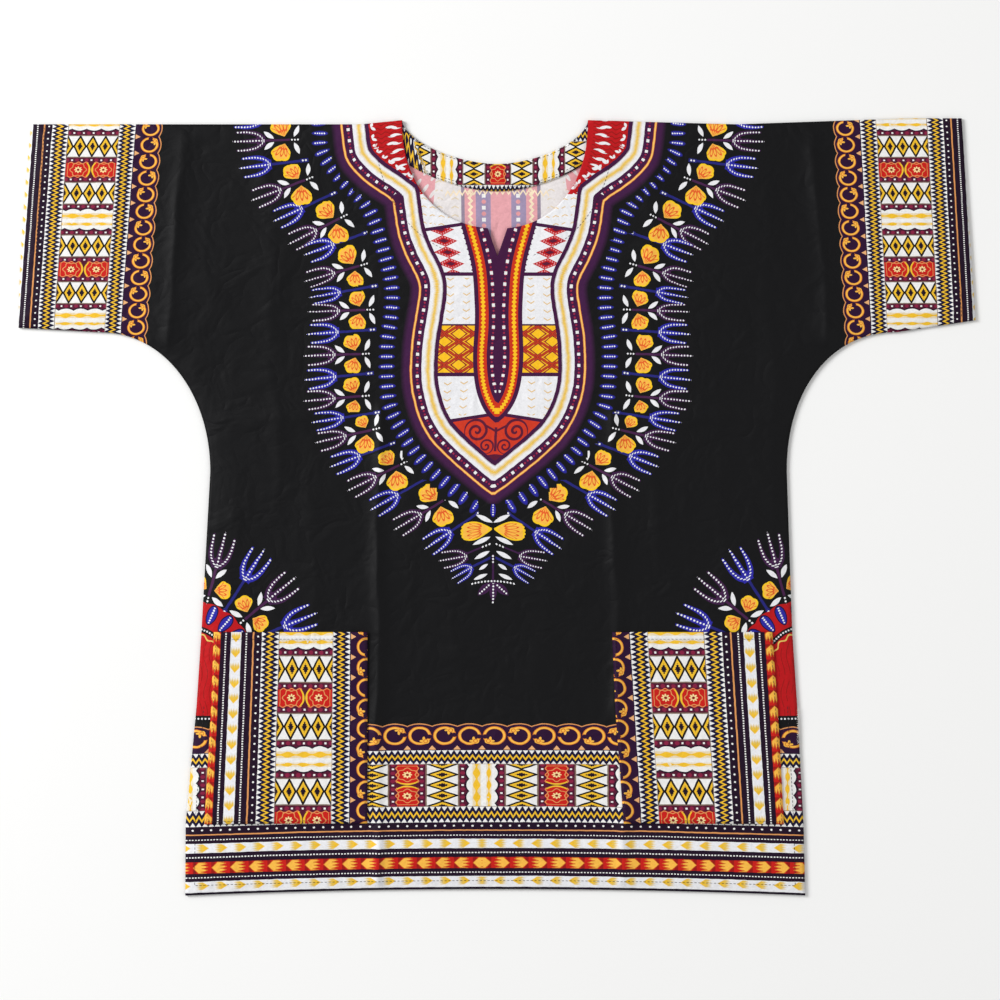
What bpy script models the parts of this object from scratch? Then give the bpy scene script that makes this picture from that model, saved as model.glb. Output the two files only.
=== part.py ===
"""A dashiki shirt laid flat, face up: back, front, back neck facing and two patch pockets.

Front and back are each cut in one with their sleeves, so the outline is a wide T with
curved underarms. The back lies on the table with its right side down, the front lies on
it, and the two meet 0.3 mm apart along shoulders, sleeves and sides. X runs across the
shirt, Y from hem to neck, Z up; the origin is the middle of its box, on the table.
"""

import math

import bmesh
import bpy

MM = 0.001  # sizes below are in millimetres

CLOTH = 1.2  # wall of one layer of printed cotton with its turned edges
FACING_CLOTH = 1.0
SEAM_GAP = 0.3

# Top edge: the fold along shoulders and sleeves.
NECK_POINT_Y = 387.3
SHOULDER_LOW_Y = 383.3
LEFT_SHOULDER_RUN = 40.0  # the left shoulder falls to its low level over this run
SHOULDER_LOW_X = 240.0
SHOULDER_HIGH_X = 412.0  # from here the right sleeve's top edge is level with its cuff
LEFT_NECK_X = -95.0
RIGHT_NECK_X = 91.0
CENTRE_X = 0.5

# Sleeve ends, top and bottom corner of each cuff.
LEFT_CUFF_TOP = (-466.0, 383.3)
LEFT_CUFF_FOOT = (-479.0, 179.8)
RIGHT_CUFF_TOP = (465.0, 389.3)
RIGHT_CUFF_FOOT = (479.0, 187.3)
LEFT_CUFF_BOW = 2.5

# Underarm: a quarter of a superellipse from the sleeve's underside into the side seam.
UNDERARM_FOOT_Y = 35.3
UNDERARM_WIDTH = 110.0
UNDERARM_RISE = 140.0
LEFT_UNDERARM_X = -397.0
RIGHT_UNDERARM_X = 400.0
LEFT_UNDERARM_POWER = 2.05
RIGHT_UNDERARM_POWER = 2.15
UNDERARM_LINE_Y = 141.3  # level at which the sleeves end and the body begins

# Packing folds across the sleeves, where they meet the shoulder line.
LEFT_FOLD_X = -314.0
RIGHT_FOLD_X = 314.0
FOLD_FLANK = 16.0

# Body sections from the underarm line down to the hem: level, the two sides, the two long
# creases, how far the pockets' outer edges lie inside the sides, and the number of rows
# down to the next section.
SECTION_COLUMNS = ("y", "left", "right", "crease_l", "crease_r", "inset_l", "inset_r", "rows")
SECTION_ROWS = (
    (141.3, -322.0, 323.0, -119.0, 115.0, 28.0, 28.0, 3),
    (35.3, -287.0, 290.0, -119.0, 115.0, 14.0, 20.0, 4),
    (-124.7, -295.8, 295.5, -119.0, 115.0, 12.8, 20.5, 2),
    (-198.7, -300.7, 300.5, -119.0, 118.0, 15.0, 20.0, 3),
    (-315.7, -311.6, 306.8, -119.0, 126.5, 19.0, 19.8, 2),
    (-382.0, -312.0, 308.5, -119.0, 128.0, 19.0, 19.8, 0),
)
BODY_SECTIONS = [dict(zip(SECTION_COLUMNS, row)) for row in SECTION_ROWS]
POCKET_TOP_SECTION = 2
POCKET_FOOT_SECTION = 4
POCKET_TO_CREASE = 10.5  # from the left pocket's inner edge to the crease beside it
CREASE_FLANK = 14.0
HEM_DIP = 6.5  # the corners of the hem hang this much lower than its middle
HEM_HALF = 310.0
DIP_POWER = 8  # the dip fades quickly above the hem

# Front neck: a rounded opening with a short V slit; back neck: a shallow curve.
FRONT_NECK_DROP = 108.5
FRONT_NECK_POWER = 2.2
SLIT_HALF = 9.8
SLIT_DEPTH = 27.5
BACK_NECK_DROP = 43.8
BACK_NECK_POWER = 1.7
FACING_WIDTH = 27.0
FACING_SLOPE = 2.5  # its ends run down with the shoulders
FACING_CELLS = 18

# Heights of the front's underside above the table.
TABLE_CLEAR = CLOTH + SEAM_GAP
NECK_HEIGHT = CLOTH + SEAM_GAP + FACING_CLOTH + SEAM_GAP
BODY_HEIGHT = 3.0
CREASE_HEIGHT = 5.2
FOLD_HEIGHT = 5.0

# Cells of each panel's grid.
SLEEVE_ROWS = 8
SLEEVE_CELLS = 5
POCKET_CELLS = 5
CHEST_CELLS = 12
NECK_SIDE_CELLS = CHEST_CELLS // 2 - 1

# Columns of the grid that carry a name, counted from the left cuff.
LEFT_FOLD = SLEEVE_CELLS
LEFT_POCKET_OUT = LEFT_FOLD + 1
LEFT_POCKET_IN = LEFT_POCKET_OUT + POCKET_CELLS
LEFT_CREASE = LEFT_POCKET_IN + 1
CENTRE = LEFT_CREASE + CHEST_CELLS // 2
RIGHT_CREASE = LEFT_CREASE + CHEST_CELLS
RIGHT_POCKET_OUT = RIGHT_CREASE + POCKET_CELLS
RIGHT_FOLD = RIGHT_POCKET_OUT + 1
LAST_COLUMN = RIGHT_FOLD + SLEEVE_CELLS

BODY_ROWS = sum(section["rows"] for section in BODY_SECTIONS)
LAST_ROW = SLEEVE_ROWS + BODY_ROWS


def clear_scene():
    """Empty the file that the script runs in."""
    for old in list(bpy.data.objects):
        bpy.data.objects.remove(old, do_unlink=True)


def mix(a, b, t):
    return a + (b - a) * t


def shoulder_y(x):
    """Level of the top edge: highest at the neck, and again at the right cuff."""
    if x < LEFT_NECK_X:
        t = min(1.0, (LEFT_NECK_X - x) / LEFT_SHOULDER_RUN)
        return mix(NECK_POINT_Y, SHOULDER_LOW_Y, t)
    if x < RIGHT_NECK_X:
        return NECK_POINT_Y
    if x < SHOULDER_LOW_X:
        t = (x - RIGHT_NECK_X) / (SHOULDER_LOW_X - RIGHT_NECK_X)
        return mix(NECK_POINT_Y, SHOULDER_LOW_Y, t)
    t = min(1.0, (x - SHOULDER_LOW_X) / (SHOULDER_HIGH_X - SHOULDER_LOW_X))
    return mix(SHOULDER_LOW_Y, RIGHT_CUFF_TOP[1], t)


def underarm_x(y, side):
    """Outline of the underarm at level y; side is -1 on the left, 1 on the right."""
    power = LEFT_UNDERARM_POWER if side < 0 else RIGHT_UNDERARM_POWER
    centre = LEFT_UNDERARM_X if side < 0 else RIGHT_UNDERARM_X
    rise = (y - UNDERARM_FOOT_Y) / UNDERARM_RISE
    reach = UNDERARM_WIDTH * (1.0 - rise**power) ** (1.0 / power)
    return centre - side * reach


def underside_y(x):
    """Level of a sleeve's lower edge: straight from the cuff, then the underarm curve."""
    side = -1 if x < 0 else 1
    centre = LEFT_UNDERARM_X if side < 0 else RIGHT_UNDERARM_X
    power = LEFT_UNDERARM_POWER if side < 0 else RIGHT_UNDERARM_POWER
    foot = LEFT_CUFF_FOOT if side < 0 else RIGHT_CUFF_FOOT
    crown = UNDERARM_FOOT_Y + UNDERARM_RISE
    if (x - centre) * side > 0:
        return mix(crown, foot[1], (x - centre) / (foot[0] - centre))
    across = abs(x - centre) / UNDERARM_WIDTH
    return UNDERARM_FOOT_Y + UNDERARM_RISE * (1.0 - across**power) ** (1.0 / power)


def neck_edge(column, is_front):
    """Point of the neck edge where a column of the grid starts."""
    half = CHEST_CELLS // 2
    step = column - LEFT_CREASE
    side = -1 if step <= half else 1
    count = min(step, CHEST_CELLS - step)
    reach = LEFT_NECK_X - CENTRE_X if side < 0 else RIGHT_NECK_X - CENTRE_X
    if not is_front:
        angle = math.pi / 2 * count / half
        x = CENTRE_X + reach * max(0.0, math.cos(angle)) ** (2 / BACK_NECK_POWER)
        return x, NECK_POINT_Y - BACK_NECK_DROP * math.sin(angle) ** (2 / BACK_NECK_POWER)
    if count == half:
        return CENTRE_X, NECK_POINT_Y - FRONT_NECK_DROP - SLIT_DEPTH
    mouth = math.acos((SLIT_HALF / abs(reach)) ** (FRONT_NECK_POWER / 2))
    angle = mouth * count / NECK_SIDE_CELLS
    x = CENTRE_X + reach * math.cos(angle) ** (2 / FRONT_NECK_POWER)
    return x, NECK_POINT_Y - FRONT_NECK_DROP * math.sin(angle) ** (2 / FRONT_NECK_POWER)


def body_section(row):
    """The section at a row of the body, between the two that the table gives."""
    left_over = row
    for upper, lower in zip(BODY_SECTIONS, BODY_SECTIONS[1:]):
        if left_over <= upper["rows"]:
            t = left_over / upper["rows"]
            section = {key: mix(upper[key], lower[key], t) for key in upper}
            break
        left_over -= upper["rows"]
    if section["y"] > UNDERARM_FOOT_Y:
        section["left"] = underarm_x(section["y"], -1)
        section["right"] = underarm_x(section["y"], 1)
    return section


def spread(first, last, count):
    """Even stops from first to last, without the last one."""
    return [mix(first, last, i / count) for i in range(count)]


def body_columns(section):
    """X of each column of the body at a section, side to side."""
    left_in = section["crease_l"] - POCKET_TO_CREASE
    chest_left = section["crease_l"] + CREASE_FLANK
    chest_right = section["crease_r"] - CREASE_FLANK
    stops = [section["left"]]
    stops += spread(section["left"] + section["inset_l"], left_in, POCKET_CELLS)
    stops += [left_in, section["crease_l"]]
    stops += spread(chest_left, chest_right, CHEST_CELLS - 2)
    stops += [chest_right]
    stops += spread(section["crease_r"], section["right"] - section["inset_r"], POCKET_CELLS)
    stops += [section["right"] - section["inset_r"], section["right"]]
    return stops


def sleeve_columns(cuff, fold, side):
    """X of a sleeve's columns at its top or bottom edge, from the outline inwards."""
    flank = fold + side * FOLD_FLANK
    return spread(cuff, flank, SLEEVE_CELLS - 1) + [flank, fold]


def top_points(is_front):
    """Where each column starts: shoulder line and neck edge."""
    left = sleeve_columns(LEFT_CUFF_TOP[0], LEFT_FOLD_X, -1)
    left += spread(LEFT_FOLD_X + FOLD_FLANK, LEFT_NECK_X - POCKET_TO_CREASE, POCKET_CELLS)
    left += [LEFT_NECK_X - POCKET_TO_CREASE]
    right = sleeve_columns(RIGHT_CUFF_TOP[0], RIGHT_FOLD_X, 1)[::-1]
    inner = spread(RIGHT_NECK_X, RIGHT_FOLD_X - FOLD_FLANK, POCKET_CELLS)[1:]
    right = inner + [RIGHT_FOLD_X - FOLD_FLANK] + right
    neck = [neck_edge(column, is_front) for column in range(LEFT_CREASE, RIGHT_CREASE + 1)]
    return [(x, shoulder_y(x)) for x in left] + neck + [(x, shoulder_y(x)) for x in right]


def foot_points():
    """Where each column meets the sleeve's underside or the underarm line."""
    top_section = body_section(0)
    body = body_columns(top_section)
    left = sleeve_columns(LEFT_CUFF_FOOT[0], top_section["left"], -1)[:-1]
    right = sleeve_columns(RIGHT_CUFF_FOOT[0], top_section["right"], 1)[-2::-1]
    points = [(x, underside_y(x)) for x in left]
    points += [(x, UNDERARM_LINE_Y) for x in body]
    return points + [(x, underside_y(x)) for x in right]


def panel_plan(is_front):
    """Plan position of every grid point that the panel uses, by (column, row)."""
    tops = top_points(is_front)
    feet = foot_points()
    plan = {}
    for column in range(LAST_COLUMN + 1):
        for row in range(SLEEVE_ROWS + 1):
            t = row / SLEEVE_ROWS
            x = mix(tops[column][0], feet[column][0], t)
            if column == 0:
                x -= LEFT_CUFF_BOW * 4 * t * (1 - t)
            plan[column, row] = (x, mix(tops[column][1], feet[column][1], t))
    for row in range(1, BODY_ROWS + 1):
        section = body_section(row)
        for index, x in enumerate(body_columns(section)):
            low = max(0.0, section["y"] / BODY_SECTIONS[-1]["y"])
            dip = HEM_DIP * (x / HEM_HALF) ** 2 * low**DIP_POWER
            plan[LEFT_FOLD + index, SLEEVE_ROWS + row] = (x, section["y"] - dip)
    return plan


def on_rim(column, row):
    """True on the outline: shoulders, cuffs, undersides, sides and hem."""
    if row == 0 or row == LAST_ROW or column in (0, LAST_COLUMN):
        return True
    if row == SLEEVE_ROWS:
        return column <= LEFT_FOLD or column >= RIGHT_FOLD
    return row > SLEEVE_ROWS and column in (LEFT_FOLD, RIGHT_FOLD)


def front_height(column, row):
    """Underside of the front: down on the back at the seams, over the facing at the neck,
    highest on the two long creases and on the packing folds of the sleeves."""
    by_neck = LEFT_CREASE - 2 <= column <= RIGHT_CREASE + 2 and row <= 2
    if by_neck:
        return NECK_HEIGHT
    if on_rim(column, row):
        return TABLE_CLEAR
    if column in (LEFT_FOLD, RIGHT_FOLD):
        return FOLD_HEIGHT
    if column in (LEFT_CREASE, RIGHT_CREASE) and row > SLEEVE_ROWS:
        return CREASE_HEIGHT
    return BODY_HEIGHT


def cotton(name, colour):
    material = bpy.data.materials.new(name)
    material.use_nodes = True
    shader = material.node_tree.nodes["Principled BSDF"]
    shader.inputs["Base Color"].default_value = (*colour, 1.0)
    shader.inputs["Roughness"].default_value = 0.8
    shader.inputs["Metallic"].default_value = 0.0
    material.diffuse_color = (*colour, 1.0)
    return material


def add_sheet(name, columns, rows, place, wall, material, collection):
    """A grid of columns by rows set out by place(column, row), thickened upwards.

    place gives a point in millimetres, or None where the sheet has no cloth."""
    bm = bmesh.new()
    bmesh.ops.create_grid(bm, x_segments=columns, y_segments=rows, size=1.0)
    unused = []
    for vert in bm.verts:
        column = round((vert.co.x + 1) / 2 * columns)
        row = round((1 - vert.co.y) / 2 * rows)
        point = place(column, row)
        if point is None:
            unused.append(vert)
        else:
            vert.co = [value * MM for value in point]
    bmesh.ops.delete(bm, geom=unused, context="VERTS")
    bmesh.ops.triangulate(bm, faces=bm.faces[:])
    mesh = bpy.data.meshes.new(name)
    bm.to_mesh(mesh)
    bm.free()
    mesh.materials.append(material)
    sheet = bpy.data.objects.new(name, mesh)
    collection.objects.link(sheet)
    wall_modifier = sheet.modifiers.new("wall", "SOLIDIFY")
    wall_modifier.thickness = wall * MM
    wall_modifier.offset = 1.0
    wall_modifier.use_even_offset = True
    return sheet


def make_back(material, collection):
    plan = panel_plan(is_front=False)

    def place(column, row):
        point = plan.get((column, row))
        return point and (*point, 0.0)

    return add_sheet("back", LAST_COLUMN, LAST_ROW, place, CLOTH, material, collection)


def make_front(material, collection):
    plan = panel_plan(is_front=True)

    def place(column, row):
        point = plan.get((column, row))
        return point and (*point, front_height(column, row))

    return add_sheet("front", LAST_COLUMN, LAST_ROW, place, CLOTH, material, collection)


def make_pocket(name, first_column, last_column, material, collection):
    """A patch pocket: the front's own points between its edges, moved up off the cloth."""
    plan = panel_plan(is_front=True)
    first_row = SLEEVE_ROWS + sum(s["rows"] for s in BODY_SECTIONS[:POCKET_TOP_SECTION])
    last_row = SLEEVE_ROWS + sum(s["rows"] for s in BODY_SECTIONS[:POCKET_FOOT_SECTION])
    lift = CLOTH * 1.05 + SEAM_GAP

    def place(column, row):
        on_front = first_column + column, first_row + row
        return (*plan[on_front], front_height(*on_front) + lift)

    columns = last_column - first_column
    return add_sheet(name, columns, last_row - first_row, place, CLOTH, material, collection)


def make_neck_facing(material, collection):
    """The shaped band inside the back neck, from shoulder to shoulder."""

    def place(column, row):
        angle = math.pi * column / FACING_CELLS
        reach = CENTRE_X - LEFT_NECK_X if angle < math.pi / 2 else RIGHT_NECK_X - CENTRE_X
        outset = FACING_WIDTH * row
        across = (abs(math.cos(angle))) ** (2 / BACK_NECK_POWER)
        down = math.sin(angle) ** (2 / BACK_NECK_POWER)
        x = CENTRE_X - math.copysign(across, math.cos(angle)) * (reach + outset)
        y = NECK_POINT_Y - down * (BACK_NECK_DROP + outset) - FACING_SLOPE * row * across
        return x, y, CLOTH + SEAM_GAP

    return add_sheet("back_neck_facing", FACING_CELLS, 1, place, FACING_CLOTH, material, collection)


def main():
    clear_scene()
    shirt = bpy.data.collections.new("dashiki_shirt")
    bpy.context.scene.collection.children.link(shirt)
    ground = cotton("black_printed_cotton", (0.011, 0.011, 0.013))
    border = cotton("border_printed_cotton", (0.19, 0.11, 0.10))
    make_back(ground, shirt)
    make_front(ground, shirt)
    make_neck_facing(border, shirt)
    make_pocket("pocket_left", LEFT_POCKET_OUT, LEFT_POCKET_IN, border, shirt)
    make_pocket("pocket_right", RIGHT_CREASE, RIGHT_POCKET_OUT, border, shirt)


main()
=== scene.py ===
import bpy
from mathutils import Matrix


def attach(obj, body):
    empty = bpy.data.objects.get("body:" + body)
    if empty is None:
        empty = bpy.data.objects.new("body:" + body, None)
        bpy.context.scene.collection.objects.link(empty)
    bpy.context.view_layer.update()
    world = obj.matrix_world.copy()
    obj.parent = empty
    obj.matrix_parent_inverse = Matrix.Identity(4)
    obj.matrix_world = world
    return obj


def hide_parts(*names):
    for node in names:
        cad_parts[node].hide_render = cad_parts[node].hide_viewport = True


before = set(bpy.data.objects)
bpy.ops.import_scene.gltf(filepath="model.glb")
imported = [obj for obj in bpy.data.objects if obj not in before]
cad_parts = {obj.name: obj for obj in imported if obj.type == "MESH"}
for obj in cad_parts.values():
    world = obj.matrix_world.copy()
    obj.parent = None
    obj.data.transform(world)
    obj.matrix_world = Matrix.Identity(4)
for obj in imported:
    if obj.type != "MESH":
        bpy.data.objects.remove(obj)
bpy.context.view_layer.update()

import ast
import math

import bpy
import numpy as np

mm = 0.001  # every length below is in millimetres


# The cut: outline of the shirt in the frame's own x (across) and y (hem to neck).
cut = {
    "cloth": 1.2,  # one layer of cotton with its turned edges
    "facingCloth": 1,
    "seamGap": 0.3,
    "neckPointY": 387.3,
    "shoulderX": (-480, -135, -95, 91, 240, 412, 480),
    "shoulderLevels": (383.3, 383.3, 387.3, 387.3, 383.3, 389.3, 389.3),
    "leftNeckX": -95,
    "rightNeckX": 91,
    "centreX": 0.5,
    "cuffTopX": (-466, 465),
    "cuffFoot": ((-479, 179.8), (479, 187.3)),
    "leftCuffBow": 2.5,
    "underarmFootY": 35.3,
    "underarmWidth": 110,
    "underarmRise": 140,
    "underarmCentreX": (-397, 400),
    "underarmPower": (2.05, 2.15),
    "underarmMean": 124,  # turns the curve's own measure into a distance
    "farAway": 1000,
    "foldX": 314,  # packing fold across each sleeve, at the shoulder
    "foldFlank": 16,
    "pocketToCrease": 10.5,
    "creaseFlank": 14,
    "hemDip": 6.5,  # the corners of the hem hang this much lower than its middle
    "hemHalf": 310,
    "dipPower": 8,
    "frontNeckDrop": 108.5,
    "frontNeckPower": 2.2,
    "slitHalf": 9.8,
    "slitDepth": 27.5,
    "backNeckDrop": 43.8,
    "backNeckPower": 1.7,
    "facingWidth": 27,
    "facingSlope": 2.5,
}

# The body from the underarm line to the hem: side seams, creases and pocket insets.
sectionColumns = ("row", "y", "left", "right", "creaseL", "creaseR", "insetL", "insetR")
sectionTable = np.array((
    (8, 141.3, -322, 323, -119, 115, 28, 28),
    (11, 35.3, -287, 290, -119, 115, 14, 20),
    (15, -124.7, -295.8, 295.5, -119, 115, 12.8, 20.5),
    (17, -198.7, -300.7, 300.5, -119, 118, 15, 20),
    (20, -315.7, -311.6, 306.8, -119, 126.5, 19, 19.8),
    (22, -382, -312, 308.5, -119, 128, 19, 19.8),
))

# Columns and rows of the cut that carry a name.
knots = {
    "leftFold": 5,
    "leftPocketOut": 6,
    "leftPocketIn": 11,
    "leftCrease": 12,
    "centre": 18,
    "rightCrease": 24,
    "rightPocketOut": 29,
    "rightFold": 30,
    "underarmRow": 8,
    "pocketTopRow": 15,
    "pocketFootRow": 20,
}


def mixed(a, b, t):
    return a + (b - a) * t


def spread(a, b, count):
    # count even steps from a up to b, without b itself
    return [mixed(a, b, i / count) for i in range(count)]


def smooth(t):
    # 0 below 0, 1 above 1, with level ends
    t = np.clip(t, 0.0, 1.0)
    return t * t * (3.0 - 2.0 * t)


def shoulderY(x):
    # level of the shoulder edge, with its small steps
    return np.interp(x, cut["shoulderX"], cut["shoulderLevels"])


def undersideY(x):
    # straight from the cuff, then a quarter of a superellipse down into the side seam
    crown = cut["underarmFootY"] + cut["underarmRise"]
    level = np.zeros_like(x)
    for side in (0, 1):
        sign = 2 * side - 1
        centre = cut["underarmCentreX"][side]
        power = cut["underarmPower"][side]
        footX, footY = cut["cuffFoot"][side]
        straight = mixed(crown, footY, (x - centre) / (footX - centre))
        across = np.clip(np.abs(x - centre) / cut["underarmWidth"], 0.0, 1.0)
        curve = cut["underarmFootY"] + cut["underarmRise"] * (1.0 - across**power) ** (1.0 / power)
        here = x * sign > 0
        level = np.where(here & ((x - centre) * sign > 0), straight, level)
        level = np.where(here & ((x - centre) * sign <= 0), curve, level)
    return level


def underarmX(y, side):
    # the same curve, read the other way: x at a level
    power = cut["underarmPower"][side]
    rise = np.clip((y - cut["underarmFootY"]) / cut["underarmRise"], 0.0, 1.0)
    reach = cut["underarmWidth"] * (1.0 - rise**power) ** (1.0 / power)
    return cut["underarmCentreX"][side] - (2 * side - 1) * reach


def bodySection(row):
    # each quantity of the section table at a row, with the underarm curve above its foot
    section = {
        name: np.interp(row, sectionTable[:, 0], sectionTable[:, place])
        for place, name in enumerate(sectionColumns)
    }
    curved = section["y"] > cut["underarmFootY"]
    section["left"] = np.where(curved, underarmX(section["y"], 0), section["left"])
    section["right"] = np.where(curved, underarmX(section["y"], 1), section["right"])
    return section


def bodyKnots(section):
    # x of the named columns 5 to 30 at each section, side to side
    left, right = section["left"], section["right"]
    pocketL = left + section["insetL"]
    pocketR = right - section["insetR"]
    innerL = section["creaseL"] - cut["pocketToCrease"]
    chestL = section["creaseL"] + cut["creaseFlank"]
    chestR = section["creaseR"] - cut["creaseFlank"]
    stops = [left] + spread(pocketL, innerL, 5) + [innerL, section["creaseL"]]
    stops += spread(chestL, chestR, 10) + [chestR]
    stops += spread(section["creaseR"], pocketR, 5) + [pocketR, right]
    return np.stack(stops, axis=-1)


def alongKnots(columns, firstKnot, values):
    # values at whole columns, spread evenly between them
    count = values.shape[-1]
    hats = np.array([
        np.interp(columns, firstKnot + np.arange(count), np.eye(count)[i])
        for i in range(count)
    ])
    return values @ hats


def neckEdge(columns, isFront):
    # superellipse from neck point to neck point, the front one opening into a V slit
    step = columns - knots["leftCrease"]
    half = knots["centre"] - knots["leftCrease"]
    count = np.minimum(step, 2 * half - step)
    side = np.where(step <= half, cut["leftNeckX"], cut["rightNeckX"]) - cut["centreX"]
    if not isFront:
        angle = math.pi / 2 * np.clip(count / half, 0.0, 1.0)
        power = 2 / cut["backNeckPower"]
        x = cut["centreX"] + side * np.maximum(np.cos(angle), 0.0) ** power
        return x, cut["neckPointY"] - cut["backNeckDrop"] * np.sin(angle) ** power
    power = 2 / cut["frontNeckPower"]
    mouth = np.arccos((cut["slitHalf"] / np.abs(side)) ** (1 / power))
    part = np.clip(count / (half - 1), 0.0, 1.0)
    x = cut["centreX"] + side * np.cos(mouth * part) ** power
    y = cut["neckPointY"] - cut["frontNeckDrop"] * np.sin(mouth * part) ** power
    slit = np.clip(count - (half - 1), 0.0, 1.0)
    tip = cut["neckPointY"] - cut["frontNeckDrop"] - cut["slitDepth"]
    return mixed(x, cut["centreX"], slit), mixed(y, tip, slit)


def planOf(columns, rows, isFront):
    # plan position of each (row, column) of a grid set out in the cut's own numbers
    fold, flank = cut["foldX"], cut["foldFlank"]
    cuffL, cuffR = cut["cuffTopX"]
    innerL = cut["leftNeckX"] - cut["pocketToCrease"]
    topKnots = spread(cuffL, -fold - flank, 4) + [-fold - flank, -fold]
    topKnots += spread(-fold + flank, innerL, 5) + [innerL, cut["leftNeckX"]] + [0.0] * 11
    topKnots += spread(cut["rightNeckX"], fold - flank, 5) + [fold - flank, fold]
    topKnots += spread(fold + flank, cuffR, 4) + [cuffR]
    topX = alongKnots(columns, 0, np.array(topKnots))
    topY = shoulderY(topX)
    inNeck = (columns >= knots["leftCrease"]) & (columns <= knots["rightCrease"])
    neckX, neckY = neckEdge(np.clip(columns, knots["leftCrease"], knots["rightCrease"]), isFront)
    topX = np.where(inNeck, neckX, topX)
    topY = np.where(inNeck, neckY, topY)

    section = bodySection(np.array([float(knots["underarmRow"])]))
    body = bodyKnots(section)[0]
    footL, footR = cut["cuffFoot"][0][0], cut["cuffFoot"][1][0]
    footKnots = spread(footL, body[0] - flank, 4) + [body[0] - flank]
    footKnots += list(body) + spread(body[-1] + flank, footR, 4) + [footR]
    footX = alongKnots(columns, 0, np.array(footKnots))
    inBody = (columns >= knots["leftFold"]) & (columns <= knots["rightFold"])
    footY = np.where(inBody, section["y"][0], undersideY(footX))

    t = np.clip(rows / knots["underarmRow"], 0.0, 1.0)[:, None]
    x = mixed(topX, footX, t)
    y = mixed(topY, footY, t)
    bow = np.clip(1 - columns * 1.5, 0.0, 1.0)
    x = x - cut["leftCuffBow"] * 4 * t * (1 - t) * bow

    section = bodySection(rows)
    bodyX = alongKnots(columns, knots["leftFold"], bodyKnots(section))
    low = np.clip(section["y"] / sectionTable[-1, 1], 0.0, 1.0)[:, None]
    dip = cut["hemDip"] * (bodyX / cut["hemHalf"]) ** 2 * low ** cut["dipPower"]
    below = (rows > knots["underarmRow"])[:, None]
    x = np.where(below, bodyX, x)
    y = np.where(below, section["y"][:, None] - dip, y)
    return x, y


def gridStops(first, counts):
    # stops of a grid: counts[i] even steps from whole number first + i to the next
    parts = [first + i + np.arange(count) / count for i, count in enumerate(counts)]
    return np.concatenate(parts + [np.array([float(first + len(counts))])])


def seamDistance(x, y):
    # how far a point lies inside the outline: shoulders, cuffs, undersides, sides and hem
    toShoulder = shoulderY(x) - y
    toCuff = np.full_like(x, cut["farAway"])
    for side in (0, 1):
        footX, footY = cut["cuffFoot"][side]
        ends = (footX, cut["cuffTopX"][side])
        cuff = np.interp(y, (footY, cut["shoulderLevels"][-side]), ends)
        toCuff = np.minimum(toCuff, (cuff - x) * (2 * side - 1))
    row = np.interp(-y, -sectionTable[:, 1], sectionTable[:, 0])
    low = np.clip(y / sectionTable[-1, 1], 0.0, 1.0)
    dip = cut["hemDip"] * (x / cut["hemHalf"]) ** 2 * low ** cut["dipPower"]
    toHem = y - (sectionTable[-1, 1] - dip)
    toSide = np.full_like(x, cut["farAway"])
    for side in (0, 1):
        sign = 2 * side - 1
        edge = np.interp(row, sectionTable[:, 0], sectionTable[:, 2 + side])
        straight = (edge - x) * sign
        centre = cut["underarmCentreX"][side]
        power = cut["underarmPower"][side]
        across = np.maximum((centre - x) * sign, 0.0) / cut["underarmWidth"]
        up = np.maximum(y - cut["underarmFootY"], 0.0) / cut["underarmRise"]
        around = ((across**power + up**power) ** (1 / power) - 1) * cut["underarmMean"]
        aboveFoot = y > cut["underarmFootY"]
        distance = np.where(aboveFoot, around, straight)
        beyond = (x - centre) * sign > 0
        distance = np.where(beyond, y - undersideY(x), distance)
        toSide = np.minimum(toSide, np.where(x * sign > 0, distance, cut["farAway"]))
    return np.minimum(np.minimum(toShoulder, toCuff), np.minimum(toHem, toSide))


# Lie of the cloth.
lie = {
    "rimHeight": 1.5,  # underside of the front where it meets the back
    "bodyHeight": 3,
    "neckHeight": 2.8,
    "neckReach": (145, 22),  # half width and fade of the part that lies on the facing
    "neckFrom": (300, 30),
    "rimWidth": 13,
    "rolling": 0.77,  # slow rise and fall of cloth that was packed and opened again
    "rollingFrom": (3, 26),
    "creaseFrom": 9,
    "creaseFade": 24,
    "creaseTop": 2.2,  # rounding of each ridge
}

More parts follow.
